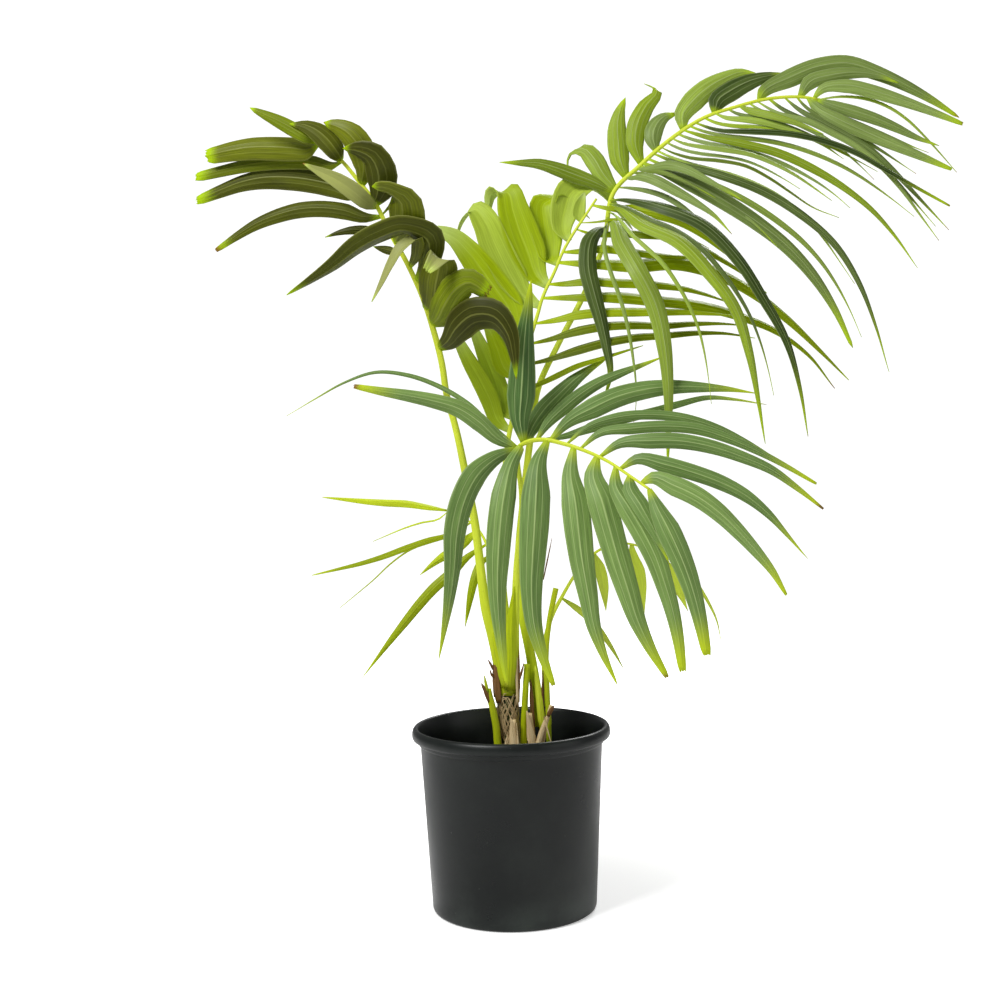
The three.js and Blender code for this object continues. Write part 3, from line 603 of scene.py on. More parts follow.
def leaf_group():
    """Colour, height and gloss of a leaflet: painted shade, ribs, fine veins, pale tip, dry end and
    underside.
    """
    found = bpy.data.node_groups.get("Leaf pattern")
    if found:
        return found
    colours = ("Body", "Shade", "Vein", "Tip", "Dry", "Underside")
    group, t, given, wanted = new_group(
        "Leaf pattern",
        {**dict.fromkeys(colours, "Color"), "Rib Strength": "Float", "Tip Reach": "Float"},
        {"Color": "Color", "Glow": "Color", "Height": "Float", "Roughness": "Float"},
    )
    names = ("across", "along", "metres", "tint", "lime", "dry", "below")
    across, along, metres, tint, lime, dry, below = (t.attribute(name) for name in names)
    # The tint also moves the pattern, so that no two leaflets have the same veins.
    offset = t.times(tint, 37.0)
    lengthwise = t.vector(t.times(across, 11.0), t.times(metres, 9.0), offset)
    fine = t.noise(lengthwise, 2.2, 3.0)
    broad = t.noise(t.vector(across, t.times(metres, 9.0), offset), 1.3, 2.0)
    patch = t.noise(t.place(), 26.0, 2.0)

    away = t.math("ABSOLUTE", across)
    middle_rib = t.span(away, 0.075, 0.02)
    side_rib = t.span(t.math("ABSOLUTE", t.math("SUBTRACT", away, SIDE_RIB)), 0.045, 0.012)
    edge = t.span(away, 0.86, 1.0)
    ribs = t.math("MAXIMUM", middle_rib, t.times(side_rib, 0.6))

    # Painted shade: each leaflet's tint, with broad patches, mixes in the Shade colour, which
    # stands partly for its own darker tone and partly for the shadows among the fronds.
    shade = t.math("ADD", t.times(tint, 1.15), t.times(broad, 0.5))
    shade = t.math("SUBTRACT", shade, 0.35, clamp=True)
    colour = t.mix(shade, given["Body"], given["Shade"])
    colour = t.mix(t.times(lime, 0.85), colour, given["Tip"])
    streak = t.span(fine, 0.36, 0.66, 0.6, 1.28)
    streaks = t.node("ShaderNodeCombineColor", Red=streak, Green=streak, Blue=streak).outputs[0]
    colour = t.mix(0.7, colour, streaks, "MULTIPLY")
    colour = t.mix(t.times(ribs, given["Rib Strength"]), colour, given["Vein"])
    colour = t.mix(t.times(edge, 0.25), colour, given["Vein"])

    # The tip and the foot of a leaflet are paler.
    tip_start = t.math("SUBTRACT", 1.0, given["Tip Reach"])
    worn = t.math("ADD", along, t.times(t.math("SUBTRACT", fine, 0.5), 0.16))
    tip_mask = t.span(worn, tip_start, 1.0)
    colour = t.mix(t.times(tip_mask, 0.85), colour, given["Tip"])
    base_mask = t.span(along, 0.09, 0.0)
    colour = t.mix(t.times(base_mask, 0.7), colour, given["Tip"])
    colour = t.mix(t.times(below, 0.8), colour, t.mix(0.55, colour, given["Underside"]))

    dry_start = t.math("SUBTRACT", 1.0, t.times(dry, 0.09))
    dry_mask = t.span(worn, dry_start, t.math("ADD", dry_start, 0.02))
    dry_mask = t.times(dry_mask, t.span(dry, 0.0, 0.1))
    colour = t.mix(dry_mask, colour, given["Dry"])
    spots = t.span(t.noise(t.place(), 240.0, 2.0), 0.74, 0.8)
    colour = t.mix(t.times(spots, 0.35), colour, given["Dry"])
    t.put(wanted["Color"], colour)
    t.put(wanted["Glow"], t.mix(0.5, colour, given["Tip"]))
    t.put(wanted["Height"], t.math("ADD", t.times(ribs, 0.6), t.times(fine, 0.5)))
    t.put(wanted["Roughness"], t.span(patch, 0.3, 0.7, 0.36, 0.52))
    return group


def streak_group():
    """Colour, height and gloss of stalks, stems and dry sheaths: lengthwise fibres and flecks."""
    found = bpy.data.node_groups.get("Lengthwise fibres")
    if found:
        return found
    colours = ("Light", "Dark", "Foot", "Fleck")
    group, t, given, wanted = new_group(
        "Lengthwise fibres",
        {**dict.fromkeys(colours, "Color"), "Fleck Amount": "Float", "Foot Reach": "Float"},
        {"Color": "Color", "Height": "Float", "Roughness": "Float"},
    )
    names = ("across", "metres", "along", "tint")
    across, metres, along, tint = (t.attribute(name) for name in names)
    offset = t.times(tint, 23.0)
    fine = t.noise(t.vector(t.times(across, 8.0), t.times(metres, 18.0), offset), 2.0, 4.0)
    broad = t.noise(t.vector(across, t.times(metres, 10.0), offset), 1.5, 2.0)
    colour = t.mix(t.span(fine, 0.3, 0.72), given["Light"], given["Dark"])
    colour = t.mix(t.times(broad, 0.45), colour, given["Dark"])
    foot = t.span(along, given["Foot Reach"], 0.0)
    colour = t.mix(foot, colour, given["Foot"])
    specks = t.span(t.noise(t.place(), 320.0, 3.0), 0.66, 0.74)
    colour = t.mix(t.times(specks, given["Fleck Amount"]), colour, given["Fleck"])
    t.put(wanted["Color"], colour)
    t.put(wanted["Height"], fine)
    t.put(wanted["Roughness"], t.span(broad, 0.3, 0.7, 0.4, 0.6))
    return group


def fresh_material(name):
    """An empty node material, and its tree."""
    material = bpy.data.materials.new(name)
    material.use_nodes = True
    material.node_tree.nodes.clear()
    return material, Tree(material.node_tree)


def finish_surface(t, colour, roughness, specular, height=None, bump=0.0, distance=0.0):
    """A Principled surface with a constant specular level, and a bump where a height is given."""
    surface = t.node("ShaderNodeBsdfPrincipled", Base_Color=colour, Roughness=roughness)
    surface.inputs["Specular IOR Level"].default_value = specular
    if height is not None:
        bumped = t.node("ShaderNodeBump", Height=height, Strength=bump, Distance=distance)
        t.put(surface.inputs["Normal"], bumped.outputs[0])
    return surface


def patterned(t, group, names, values, specular, bump, distance):
    """A surface coloured and raised by a node group whose inputs take colours or numbers."""
    pattern = t.tree.nodes.new("ShaderNodeGroup")
    pattern.node_tree = group
    for name, value in zip(names, values):
        pattern.inputs[name].default_value = linear(value) if isinstance(value, str) else value
    made = pattern.outputs
    surface = finish_surface(
        t, made["Color"], made["Roughness"], specular, made["Height"], bump, distance
    )
    return surface, pattern


def output(t, shader):
    """Makes a shader node the material's surface."""
    t.node("ShaderNodeOutputMaterial", Surface=shader.outputs[0])


LEAF_SPECULAR, LEAF_BUMP, LEAF_RELIEF = 0.14, 0.35, 0.4 * MM
FIBRE_SPECULAR, FIBRE_RELIEF = 0.2, 0.5 * MM
POT_SPECULAR, POT_BUMP, POT_RELIEF = 0.28, 0.12, 0.2 * MM
MIX_SPECULAR, MIX_BUMP, MIX_RELIEF = 0.3, 0.8, 1.5 * MM


def leaf_material(name, *values):
    """A leaflet's green, with ribs and veins, that lets some light through."""
    material, t = fresh_material(name)
    names = ("Body", "Shade", "Vein", "Tip", "Dry", "Underside", "Rib Strength", "Tip Reach")
    *values, through = values
    surface, pattern = patterned(
        t, leaf_group(), names, values, LEAF_SPECULAR, LEAF_BUMP, LEAF_RELIEF
    )
    lit = t.node("ShaderNodeBsdfTranslucent", Color=pattern.outputs["Glow"])
    blend = t.node("ShaderNodeMixShader", Fac=through)
    t.put(blend.inputs[1], surface.outputs[0])
    t.put(blend.inputs[2], lit.outputs[0])
    output(t, blend)
    return material


def fibre_material(name, *values):
    """A stalk's, a stem's or a dry sheath's fibres."""
    material, t = fresh_material(name)
    names = ("Light", "Dark", "Foot", "Fleck", "Fleck Amount", "Foot Reach")
    *values, bump = values
    surface, _ = patterned(
        t, streak_group(), names, values, FIBRE_SPECULAR, bump, FIBRE_RELIEF
    )
    output(t, surface)
    return material


def pot_material(name):
    """Dark moulded plastic: faint cloudy dust, fine scuffs and a dusty foot."""
    material, t = fresh_material(name)
    base = (*settings().pot_colour, 1.0)
    position = t.place()
    cloud = t.noise(position, 9.0, 5.0, 0.6)
    grain = t.noise(position, 420.0, 2.0)
    height = t.node("ShaderNodeSeparateXYZ", Vector=position).outputs[2]
    rings = t.noise(t.vector(0.0, 0.0, height), 520.0, 2.0)
    dusty = t.mix(t.span(cloud, 0.4, 0.72, 0.0, 0.35), base, linear("2b302c"))
    foot = t.times(t.span(height, 0.05, 0.0), t.span(cloud, 0.35, 0.65, 0.1, 0.6))
    dusty = t.mix(foot, dusty, linear("3a413c"))
    specks = t.span(t.noise(position, 150.0, 2.0), 0.76, 0.8)
    dusty = t.mix(t.times(specks, 0.3), dusty, linear("6a706a"))
    relief = t.math("ADD", t.times(grain, 0.6), t.times(rings, 0.4))
    gloss = t.span(cloud, 0.3, 0.7, 0.26, 0.4)
    output(t, finish_surface(t, dusty, gloss, POT_SPECULAR, relief, POT_BUMP, POT_RELIEF))
    return material


def mix_material(name):
    """Dark damp potting mix with pale and reddish bits."""
    material, t = fresh_material(name)
    position = t.place()
    tint = t.attribute("tint")
    lumps = t.noise(position, 90.0, 5.0, 0.65)
    colour = t.mix(t.span(lumps, 0.35, 0.65), linear("17110c"), linear("3a2c20"))
    colour = t.mix(t.span(tint, 0.5, 1.0, 0.0, 0.75), colour, linear("7a5c40"))
    bits = t.span(t.noise(position, 700.0, 2.0), 0.66, 0.72, 0.0, 0.5)
    colour = t.mix(bits, colour, linear("94806a"))
    gloss = t.span(lumps, 0.3, 0.7, 0.75, 0.95)
    output(t, finish_surface(t, colour, gloss, MIX_SPECULAR, lumps, MIX_BUMP, MIX_RELIEF))
    return material


# Body, shade (a darker tone, partly painted shade), vein, tip, dry and underside colours, then rib
# strength, tip reach and how much light passes through.
LEAF_LOOKS = {
    "leaf_olive": ("8c961c", "3a3c0c", "a8ac58", "b8dc08", "8a5a26", "d0d488", 0.3, 0.12, 0.16),
    "leaf_lime": ("a4b802", "525e00", "dcec70", "d2e624", "9a6a20", "c2dc10", 0.35, 0.06, 0.32),
    "leaf_lime_folded": (
        "a8b800", "6c7c00", "dcec70", "dde8ae", "9a6a20", "b8d410", 0.35, 0.36, 0.32
    ),
    "leaf_sage": ("9db462", "2c3e16", "ccdc9c", "c4e016", "b07c16", "ccd688", 0.4, 0.22, 0.24),
    "leaf_deep": ("92b060", "456535", "cfe49a", "ccde0a", "7c4a2c", "b0c47c", 0.5, 0.28, 0.12),
    "leaf_young": ("dcea30", "a0b010", "d6e850", "d6e624", "b0772a", "d2e070", 0.35, 0.2, 0.3),
}
# Light, dark, foot and fleck colours, then fleck amount, foot reach and bump.
FIBRE_LOOKS = {
    "stalk_green": ("e4ee50", "bccc26", "b8c80e", "8a6a30", 0.3, 0.3, 0.25),
    "sheath_green": ("ccd80c", "90a404", "98a414", "7a6428", 0.3, 0.25, 0.35),
    "sheath_yellow": ("c9cc18", "8fa810", "5c8014", "d8920c", 0.5, 0.35, 0.4),
    "dried_sheath": ("fcecc0", "c8a46c", "927248", "4a3626", 0.6, 0.15, 0.9),
    "dried_brown": ("9c7040", "4c3214", "6c5028", "22160e", 0.6, 0.3, 0.9),
    "stem_fibre": ("ecd9ac", "b4925e", "7a6040", "4b3826", 0.3, 0.0, 0.8),
    "stem_bark": ("46521a", "22240e", "2e2414", "14100a", 0.5, 0.3, 0.8),
}
# Looks that share another look's slot.
SLOT_OF = {"dried_brown": "dried_sheath", "leaf_lime_folded": "leaf_lime"}


def look(slot):
    """The material of a look, made the first time it is asked for."""
    name = slot + "_look"
    found = bpy.data.materials.get(name)
    if found:
        return found
    if slot in LEAF_LOOKS:
        return leaf_material(name, *LEAF_LOOKS[slot])
    if slot in FIBRE_LOOKS:
        return fibre_material(name, *FIBRE_LOOKS[slot])
    return pot_material(name) if slot == "pot_plastic" else mix_material(name)


# ---------------------------------------------------------------- settings


class PalmSettings(bpy.types.PropertyGroup):
    """Sizes, counts and colours of the pieces that aren't taken from the CAD part."""

    blade_thickness: FloatProperty(
        name="Blade thickness", description="Thickness of a leaflet", default=0.0006, unit="LENGTH"
    )
    fibre_radius: FloatProperty(
        name="Fibre radius", description="Radius of a strand of the netting", default=0.0004,
        unit="LENGTH",
    )
    fibre_count: IntProperty(name="Fibres", description="Strands in the netting", default=260)
    chip_count: IntProperty(
        name="Bark chips", description="Chips lying on the potting mix", default=340
    )
    pot_colour: FloatVectorProperty(
        name="Pot colour", description="Base colour of the pot's plastic", subtype="COLOR",
        size=3, default=linear("0f1312")[:3],
    )
    key_power: FloatProperty(
        name="Key light", description="Power of the large soft light", default=72.0, unit="POWER"
    )


def settings():
    """The scene's own copy of the settings."""
    return bpy.context.scene.palm_settings


# ---------------------------------------------------------------- pieces


POT_SIDES = 160
POT_WALL = 2.4 * MM
# Heights of the pot's rounded foot and of its floor, the depth of the rim inside, the height of
# the rim outside, and how far under it the wall ends.
POT_FOOT, POT_FLOOR = 4 * MM, 4.5 * MM
RIM_DEPTH, RIM_HEIGHT, LEDGE_DROP = 21 * MM, 15 * MM, 7.5 * MM
# How far from the axis the outline starts and ends.
AXIS_GAP = 0.1 * MM
# The outline's bends, in millimetres out and up from the foot, the ledge, the rim and the mouth.
FOOT_BEND = ((-4.5, 0), (-2.6, 0.5), (-0.8, 1.8), (0, 4))
LEDGE_BEND = ((0.2, -6.5), (2.2, -5.8), (3.0, -4.5), (3.1, -2.0), (3.8, -0.6))
RIM_UNDERSIDE = ((-4.0, -0.2), (-1.4, 0.8), (-0.3, 2.8), (0, 5.5))
RIM_TOP = ((-0.3, -6.2), (-1.2, -3.2), (-2.8, -1.0), (-4.6, -0.1))
MOUTH_BEND = ((1.2, -0.3), (0.2, -1.2), (-1.0, -4.0))
DRAIN_HOLES, DRAIN_CIRCLE, DRAIN_RADIUS, DRAIN_DEPTH = 6, 74 * MM, 7 * MM, 20 * MM


def bend(out, up, offsets):
    """Points of an outline, from their millimetres out and up from one point."""
    return [(out + x * MM, up + z * MM) for x, z in offsets]


def pot_outline():
    """The pot's outline: from under its floor round its foot and its rim to the floor inside."""
    points = np.array([v.co[:] for v in NODES["nursery_pot"].data.vertices])
    radius = np.hypot(points[:, 0], points[:, 1])
    level = points[:, 2]
    height, rim = level.max(), radius.max()
    under = height - RIM_HEIGHT
    foot = radius[(level >= 1.5 * MM) & (level <= 5 * MM)].max()
    at_rim = radius[(level > under - 0.5 * MM) & (level < under + 0.2 * MM)]
    wall_top = at_rim[at_rim < rim - 4 * MM].max()
    mouth = radius[level > height - 1 * MM].min()
    spread = wall_top - foot
    rise = under - LEDGE_DROP - POT_FOOT
    outline = [(AXIS_GAP, 0.0), *bend(foot, 0.0, FOOT_BEND)]
    outline += [(foot + at * spread, POT_FOOT + at * rise) for at in np.linspace(0.03, 1, 16)]
    outline += bend(wall_top, under, LEDGE_BEND) + bend(rim, under, RIM_UNDERSIDE)
    outline += bend(rim, height, RIM_TOP) + bend(mouth, height, MOUTH_BEND)
    for z in np.linspace(height - RIM_DEPTH, POT_FLOOR, 14):
        outline.append((foot + z / under * spread - POT_WALL, z))
    return [*outline, (AXIS_GAP, POT_FOOT)]


def drill(piece, spots, radius, depth):
    """Cuts upright round holes in a piece."""
    cutters = []
    for spot in spots:
        bpy.ops.mesh.primitive_cylinder_add(radius=radius, depth=depth, vertices=32, location=spot)
        cutters.append(bpy.context.object)
    cutter = joined("drain_cutter", cutters)
    cut = piece.modifiers.new("Drain holes", "BOOLEAN")
    cut.object = cutter
    cut.operation = "DIFFERENCE"
    bpy.context.view_layer.objects.active = piece
    bpy.ops.object.modifier_apply(modifier=cut.name)
    bpy.data.objects.remove(cutter)


class PALM_OT_pot(bpy.types.Operator):
    """Build the nursery pot with its rolled rim, ledge and drain holes"""

    bl_idname = "palm.pot"
    bl_label = "Pot"

    def execute(self, context):
        outline = pot_outline()
        verts = []
        for r, z in outline:
            for j in range(POT_SIDES):
                angle = 2 * math.pi * j / POT_SIDES
                verts.append((r * math.cos(angle), r * math.sin(angle), z))
        shell = new_object("pot", verts, ring_faces(len(outline), POT_SIDES), {})
        angles = [2 * math.pi * i / DRAIN_HOLES for i in range(DRAIN_HOLES)]
        spots = [(DRAIN_CIRCLE * math.cos(a), DRAIN_CIRCLE * math.sin(a), 0) for a in angles]
        drill(shell, spots, DRAIN_RADIUS, DRAIN_DEPTH)
        place(shell, look("pot_plastic"), "pot_plastic", "nursery_pot")
        return {"FINISHED"}


MIX_RINGS, MIX_SIDES = 26, 96
# How far the mix lies under the CAD node's top in the middle, and how much further at the wall.
MIX_SINK, MIX_FALL = 2 * MM, 6 * MM
# The highest that a lump stands, and the underside's radius as a share of the top's.
MIX_LUMP, MIX_FOOT_SHARE = 1.5 * MM, 0.94
CHIP_LENGTHS, CHIP_THICKNESSES = (0.004, 0.013), (0.0012, 0.003)
CHIP_WIDTH_SHARES, CHIP_TILT, CHIP_WEAR = (0.35, 0.7), 0.4, (0.82, 1.12)
# A chip's corners, from -1 to 1 along its length, width and thickness, and its faces.
CHIP_CORNERS = (
    (-1, -1, -1), (1, -0.8, -1), (0.8, 1, -1), (-0.9, 0.8, -1),
    (-0.7, -0.8, 1), (0.8, -0.6, 1), (0.6, 0.7, 1), (-0.7, 0.6, 1),
)
CHIP_FACES = ((3, 2, 1, 0), (4, 5, 6, 7), (0, 1, 5, 4), (1, 2, 6, 5), (2, 3, 7, 6), (3, 0, 4, 7))


class PALM_OT_mix(bpy.types.Operator):
    """Build the potting mix and the bark chips lying on it"""

    bl_idname = "palm.mix"
    bl_label = "Potting mix"

    def execute(self, context):
        low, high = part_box("potting_mix")
        material = look("potting_mix")
        place(self.body(high.x, low.z, high.z), material, "potting_mix", "potting_mix")
        place(self.chips(high.x, high.z), material, "potting_mix")
        return {"FINISHED"}

    def body(self, radius, bottom, top):
        """The mix itself, lumpy on top and falling towards the wall."""
        verts, faces = [], []
        for i in range(MIX_RINGS + 1):
            r = radius * (i + 0.02) / MIX_RINGS
            for j in range(MIX_SIDES):
                angle = 2 * math.pi * j / MIX_SIDES
                x, y = r * math.cos(angle), r * math.sin(angle)
                lump = 0.0016 * math.sin(61 * x + 3) * math.cos(73 * y)
                lump += 0.0011 * math.sin(190 * x + 150 * y)
                fall = MIX_FALL * (r / radius) ** 2
                verts.append((x, y, top - MIX_SINK - fall + min(lump, MIX_LUMP)))
        tints = [0.2] * len(verts) + [0.1] * MIX_SIDES
        for j in range(MIX_SIDES):
            angle = 2 * math.pi * j / MIX_SIDES
            r = MIX_FOOT_SHARE * radius
            verts.append((r * math.cos(angle), r * math.sin(angle), bottom))
        for i in range(MIX_RINGS + 1):
            for j in range(MIX_SIDES):
                k = (j + 1) % MIX_SIDES
                a, b = i * MIX_SIDES, (i + 1) * MIX_SIDES
                faces.append((b + k, b + j, a + j, a + k))
        base = len(verts) - MIX_SIDES
        faces.append(tuple(range(base, base + MIX_SIDES)))
        faces.append(tuple(range(MIX_SIDES)))
        return new_object("potting_mix_body", verts, faces, {"tint": tints})

    def chips(self, radius, top):
        """Bark chips that lie at all angles on the mix."""
        rng = random.Random(11)
        verts, faces, tints = [], [], []
        for _ in range(settings().chip_count):
            r = radius * 0.97 * math.sqrt(rng.random())
            angle = rng.uniform(0, 2 * math.pi)
            length = rng.uniform(*CHIP_LENGTHS)
            width = length * rng.uniform(*CHIP_WIDTH_SHARES)
            size = (length, width, rng.uniform(*CHIP_THICKNESSES))
            turn = Matrix.Rotation(rng.uniform(0, 6.3), 3, "Z")
            turn = turn @ Matrix.Rotation(rng.uniform(-CHIP_TILT, CHIP_TILT), 3, "X")
            r = min(r, radius - length)
            z = top - MIX_LUMP - MIX_FALL * (r / radius) ** 2
            spot = Vector((r * math.cos(angle), r * math.sin(angle), z))
            start = len(verts)
            for corner in CHIP_CORNERS:
                corner = Vector([c * s for c, s in zip(corner, size)]) / 2
                corner *= rng.uniform(*CHIP_WEAR)
                verts.append(spot + turn @ corner)
            tints += [rng.random()] * len(CHIP_CORNERS)
            faces += [tuple(start + k for k in face) for face in CHIP_FACES]
        return new_object("bark_chips", verts, faces, {"tint": tints}, smooth_faces=False)


# How much thicker some stalks are than their CAD nodes, and how much every one is at its foot.
STALK_WIDEN = {"left": 1.22, "tall": 1.1}
FOOT_FLARE, FLARE_REACH = 0.4, 0.11
STALK_ROW_LENGTH, SKIN_SIDES = 6 * MM, 16
STALK_SWELL, SWELL_LENGTH = 0.03, 31 * MM
# The groove along a stalk: its depth as a share of the radius, and its half width as an angle.
GROOVE_DEPTH, GROOVE_WIDTH = 0.22, 0.5


def groove(i, angle):
    """The groove along the upper side of a stalk."""
    return -GROOVE_DEPTH * math.exp(-(((angle - math.pi / 2) / GROOVE_WIDTH) ** 2))


class PALM_OT_stalks(bpy.types.Operator):
    """Build the six frond stalks along their CAD nodes"""

    bl_idname = "palm.stalks"
    bl_label = "Frond stalks"

    def execute(self, context):
        material = look("stalk_green")
        for k, (name, node) in enumerate(STALKS.items()):
            middles, radii = trace_stalk(node)
            shares, length = path_shares(middles)
            at = np.linspace(0, 1, int(length / STALK_ROW_LENGTH))
            line = smooth(middles, shares, at)
            size = np.interp(at, shares, radii) * STALK_WIDEN.get(name, 1.0)
            size *= 1 + STALK_SWELL * np.sin(at * length / SWELL_LENGTH + k)
            size *= 1 + FOOT_FLARE * np.exp(-((at * length / FLARE_REACH) ** 2))
            piece = tube(node + "_skin", line, size, SKIN_SIDES, groove, k * 0.37 % 1)
            place(piece, material, "stalk_green", node)
        return {"FINISHED"}


# Each row's stalk and look, and whether its leaflets show their underside.
ROWS = {
    "left_frond_lower_leaflets": ("left", "leaf_olive", 0),
    "left_frond_upper_leaflets": ("left", "leaf_olive", 0),
    "centre_frond_broad_leaflets": ("centre", "leaf_lime_folded", 1),
    "centre_frond_edge_leaflets": ("centre", "leaf_lime", 0),
    "tall_frond_upper_leaflets": ("tall", "leaf_sage", 0),
    "tall_frond_lower_leaflets": ("tall", "leaf_sage", 0),
    "low_left_frond_leaflets": ("low_left", "leaf_young", 0),
    "low_right_frond_leaflets": ("low_right", "leaf_young", 0),
}
# Rows in which a narrow leaflet grows between every two.
FILLED = ("tall_frond_lower_leaflets",)
# How much a look's leaflets narrow from their base to their tip.
TAPERS = {"leaf_deep": 0.55, "leaf_sage": 0.3, "leaf_young": 0.3}
USUAL_TAPER = 0.15
# How far the leaflets of a look go from its body colour (0) to its shade colour (1): partly a
# darker tone of their own, partly painted shade.
TINT_AND_SHADE = {
    "leaf_deep": (0.34, 0.58),
    "leaf_olive": (0.45, 0.95),
    "leaf_lime": (0.1, 1.0),
    "leaf_lime_folded": (0.0, 0.6),
    "leaf_sage": (0.05, 0.95),
}
USUAL_TINT_AND_SHADE = (0, 1)
# Leaflets painted darker than the others of their look, as painted shade.
SHADED = {"front_frond_leaflet_upright": 0.5}
# How lime a leaflet of a look can be; what falls below 0 stays its body colour.
LIMES = {"leaf_deep": (-1.0, 0.0), "leaf_olive": (-1.2, 0.3), "leaf_sage": (-0.8, 0.8)}
USUAL_LIME = (-0.5, 0.5)
# How dry a leaflet's end can be, in the same way.
DRYNESS = (-0.7, 0.4)
# How much wider a row's leaflets are than their CAD bodies.
FRONT_WIDEN = 0.92
WIDEN = {
    "left_frond_lower_leaflets": 1.2,
    "left_frond_upper_leaflets": 1.4,
    "centre_frond_broad_leaflets": 1.35,
    "centre_frond_edge_leaflets": 1.35,
    "tall_frond_upper_leaflets": 1.0,
    "tall_frond_lower_leaflets": 0.9,
    "low_left_frond_leaflets": 1.1,
    "low_right_frond_leaflets": 1.1,
}


class PALM_OT_leaflets(bpy.types.Operator):
    """Build every leaflet of the six fronds along its CAD body"""

    bl_idname = "palm.leaflets"
    bl_label = "Leaflets"

    def execute(self, context):
        rows = dict(ROWS)
        for node in sorted(NODES):
            if node.startswith("front_frond_leaflet"):
                rows[node] = ("front", "leaf_deep", 0)
        for index, (node, (stalk, slot, under)) in enumerate(rows.items()):
            rng = np.random.default_rng(100 + index)
            leaves = trace_leaflets(node, stalk)
            if not leaves:
                raise RuntimeError(f"no leaflet could be traced in {node}")
            material = look(slot)
            if node in FILLED:
                leaves += [between(a, b, rng) for a, b in zip(leaves[:-1], leaves[1:])]
            for i, leaf in enumerate(leaves):
                name = node if len(leaves) == 1 else f"{node}_{i + 1:02d}"
                piece = blade(
                    name + "_blade", leaf, settings().blade_thickness,
                    tint=rng.uniform(*TINT_AND_SHADE.get(slot, USUAL_TINT_AND_SHADE)) + SHADED.get(node, 0.0),
                    lime=max(0.0, rng.uniform(*LIMES.get(slot, USUAL_LIME))),
                    dry=max(0.0, rng.uniform(*DRYNESS)), under=under, rng=rng,
                    widen=WIDEN.get(node, FRONT_WIDEN), taper=TAPERS.get(slot, USUAL_TAPER),
                )
                place(piece, material, SLOT_OF.get(slot, slot), node)
        return {"FINISHED"}


# The slot of each upright piece that is rebuilt from level cuts through its CAD node.
UPRIGHTS = {
    "main_stem": "stem_bark",
    "right_stem": "stem_bark",
    "crown_sheath": "sheath_green",
    "slim_green_shoot": "sheath_green",
    "yellow_leaf_stub": "sheath_yellow",
    "yellow_cut_stalk": "sheath_yellow",
    "dried_sheath_front": "dried_sheath",
    "dried_stub_orange": "dried_sheath",
    "dried_stub_crossing": "dried_sheath",
}
UPRIGHT_CUTS, UPRIGHT_SIDES, UPRIGHT_ROW_LENGTH, FEWEST_ROWS = 14, 24, 4 * MM, 12
# How uneven a dry piece and a green one are, as a share of the radius.
DRY_UNEVEN, GREEN_UNEVEN = 0.16, 0.04
# The netting's strands: how far under the top the highest starts, how far one rises, what a
# close-wound one rises for each radian, which ones turn less and by how much, how far the ends
# fray above the sleeve, how far inside it the strands lie, and how much they weave in and out.
STRAND_FALL, STRAND_RISES, STRAND_POINTS, STRAND_SIDES = 0.03, (0.02, 0.06), 12, 5
TURN_RISE, LOOSE_EVERY, LOOSE_SHARE, FRAY = 0.03, 5, 0.15, 8 * MM
NETTING_DEPTH, NETTING_RIPPLE, STRAND_WIDTHS = 1.2 * MM, 0.7 * MM, (0.6, 1.5)


class PALM_OT_stems(bpy.types.Operator):
    """Build the two stems, the green crown sheath, the old leaf bases and the netting"""

    bl_idname = "palm.stems"
    bl_label = "Stems and old leaf bases"

    def execute(self, context):
        rng = np.random.default_rng(5)
        for node, slot in UPRIGHTS.items():
            middles, radii = trace_upright(node, UPRIGHT_CUTS)
            shares, length = path_shares(middles)
            at = np.linspace(0, 1, max(FEWEST_ROWS, int(length / UPRIGHT_ROW_LENGTH)))
            line = smooth(middles, shares, at)
            size = np.interp(at, shares, radii)
            phase = rng.uniform(0, 6, 4)
            amount = DRY_UNEVEN if slot == "dried_sheath" else GREEN_UNEVEN

            def uneven(i, angle, phase=phase, amount=amount):
                wave = math.sin(3 * angle + phase[0] + 0.12 * i)
                wave += 0.6 * math.sin(5 * angle + phase[1] - 0.2 * i)
                return amount * wave / 1.6

            tint = float(rng.random())
            piece = tube(node + "_skin", line, size, UPRIGHT_SIDES, uneven, tint)
            place(piece, look(slot), slot, node)
        strands = [self.strand(k, rng) for k in range(settings().fibre_count)]
        netting = joined("fibre_netting_strands", strands)
        place(netting, look("stem_fibre"), "stem_fibre", "fibre_netting")
        return {"FINISHED"}

    def strand(self, k, rng):
        """A strand of the netting, wound one way or the other round the main stem."""
        low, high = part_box("fibre_netting")
        centre = (low + high) / 2
        outer = (high.x - low.x) / 2 - NETTING_DEPTH
        way = 1 if k % 2 else -1
        start = rng.uniform(0, 2 * math.pi)
        foot = rng.uniform(low.z, high.z - STRAND_FALL)
        rise = rng.uniform(*STRAND_RISES)
        if k % LOOSE_EVERY == 0:
            way *= LOOSE_SHARE
        line = []
        for share in np.linspace(0, 1, STRAND_POINTS):
            angle = start + way * share * rise / TURN_RISE
            z = min(foot + share * rise, high.z + FRAY * (k * 0.37 % 1))
            r = outer + NETTING_RIPPLE * math.sin(9 * share + k)
            line.append((centre.x + r * math.cos(angle), centre.y + r * math.sin(angle), z))
        radius = settings().fibre_radius * rng.uniform(*STRAND_WIDTHS)
        tint = float(rng.random())
        radii = np.full(STRAND_POINTS, radius)
        return tube(f"strand_{k}", np.array(line), radii, STRAND_SIDES, tint=tint)


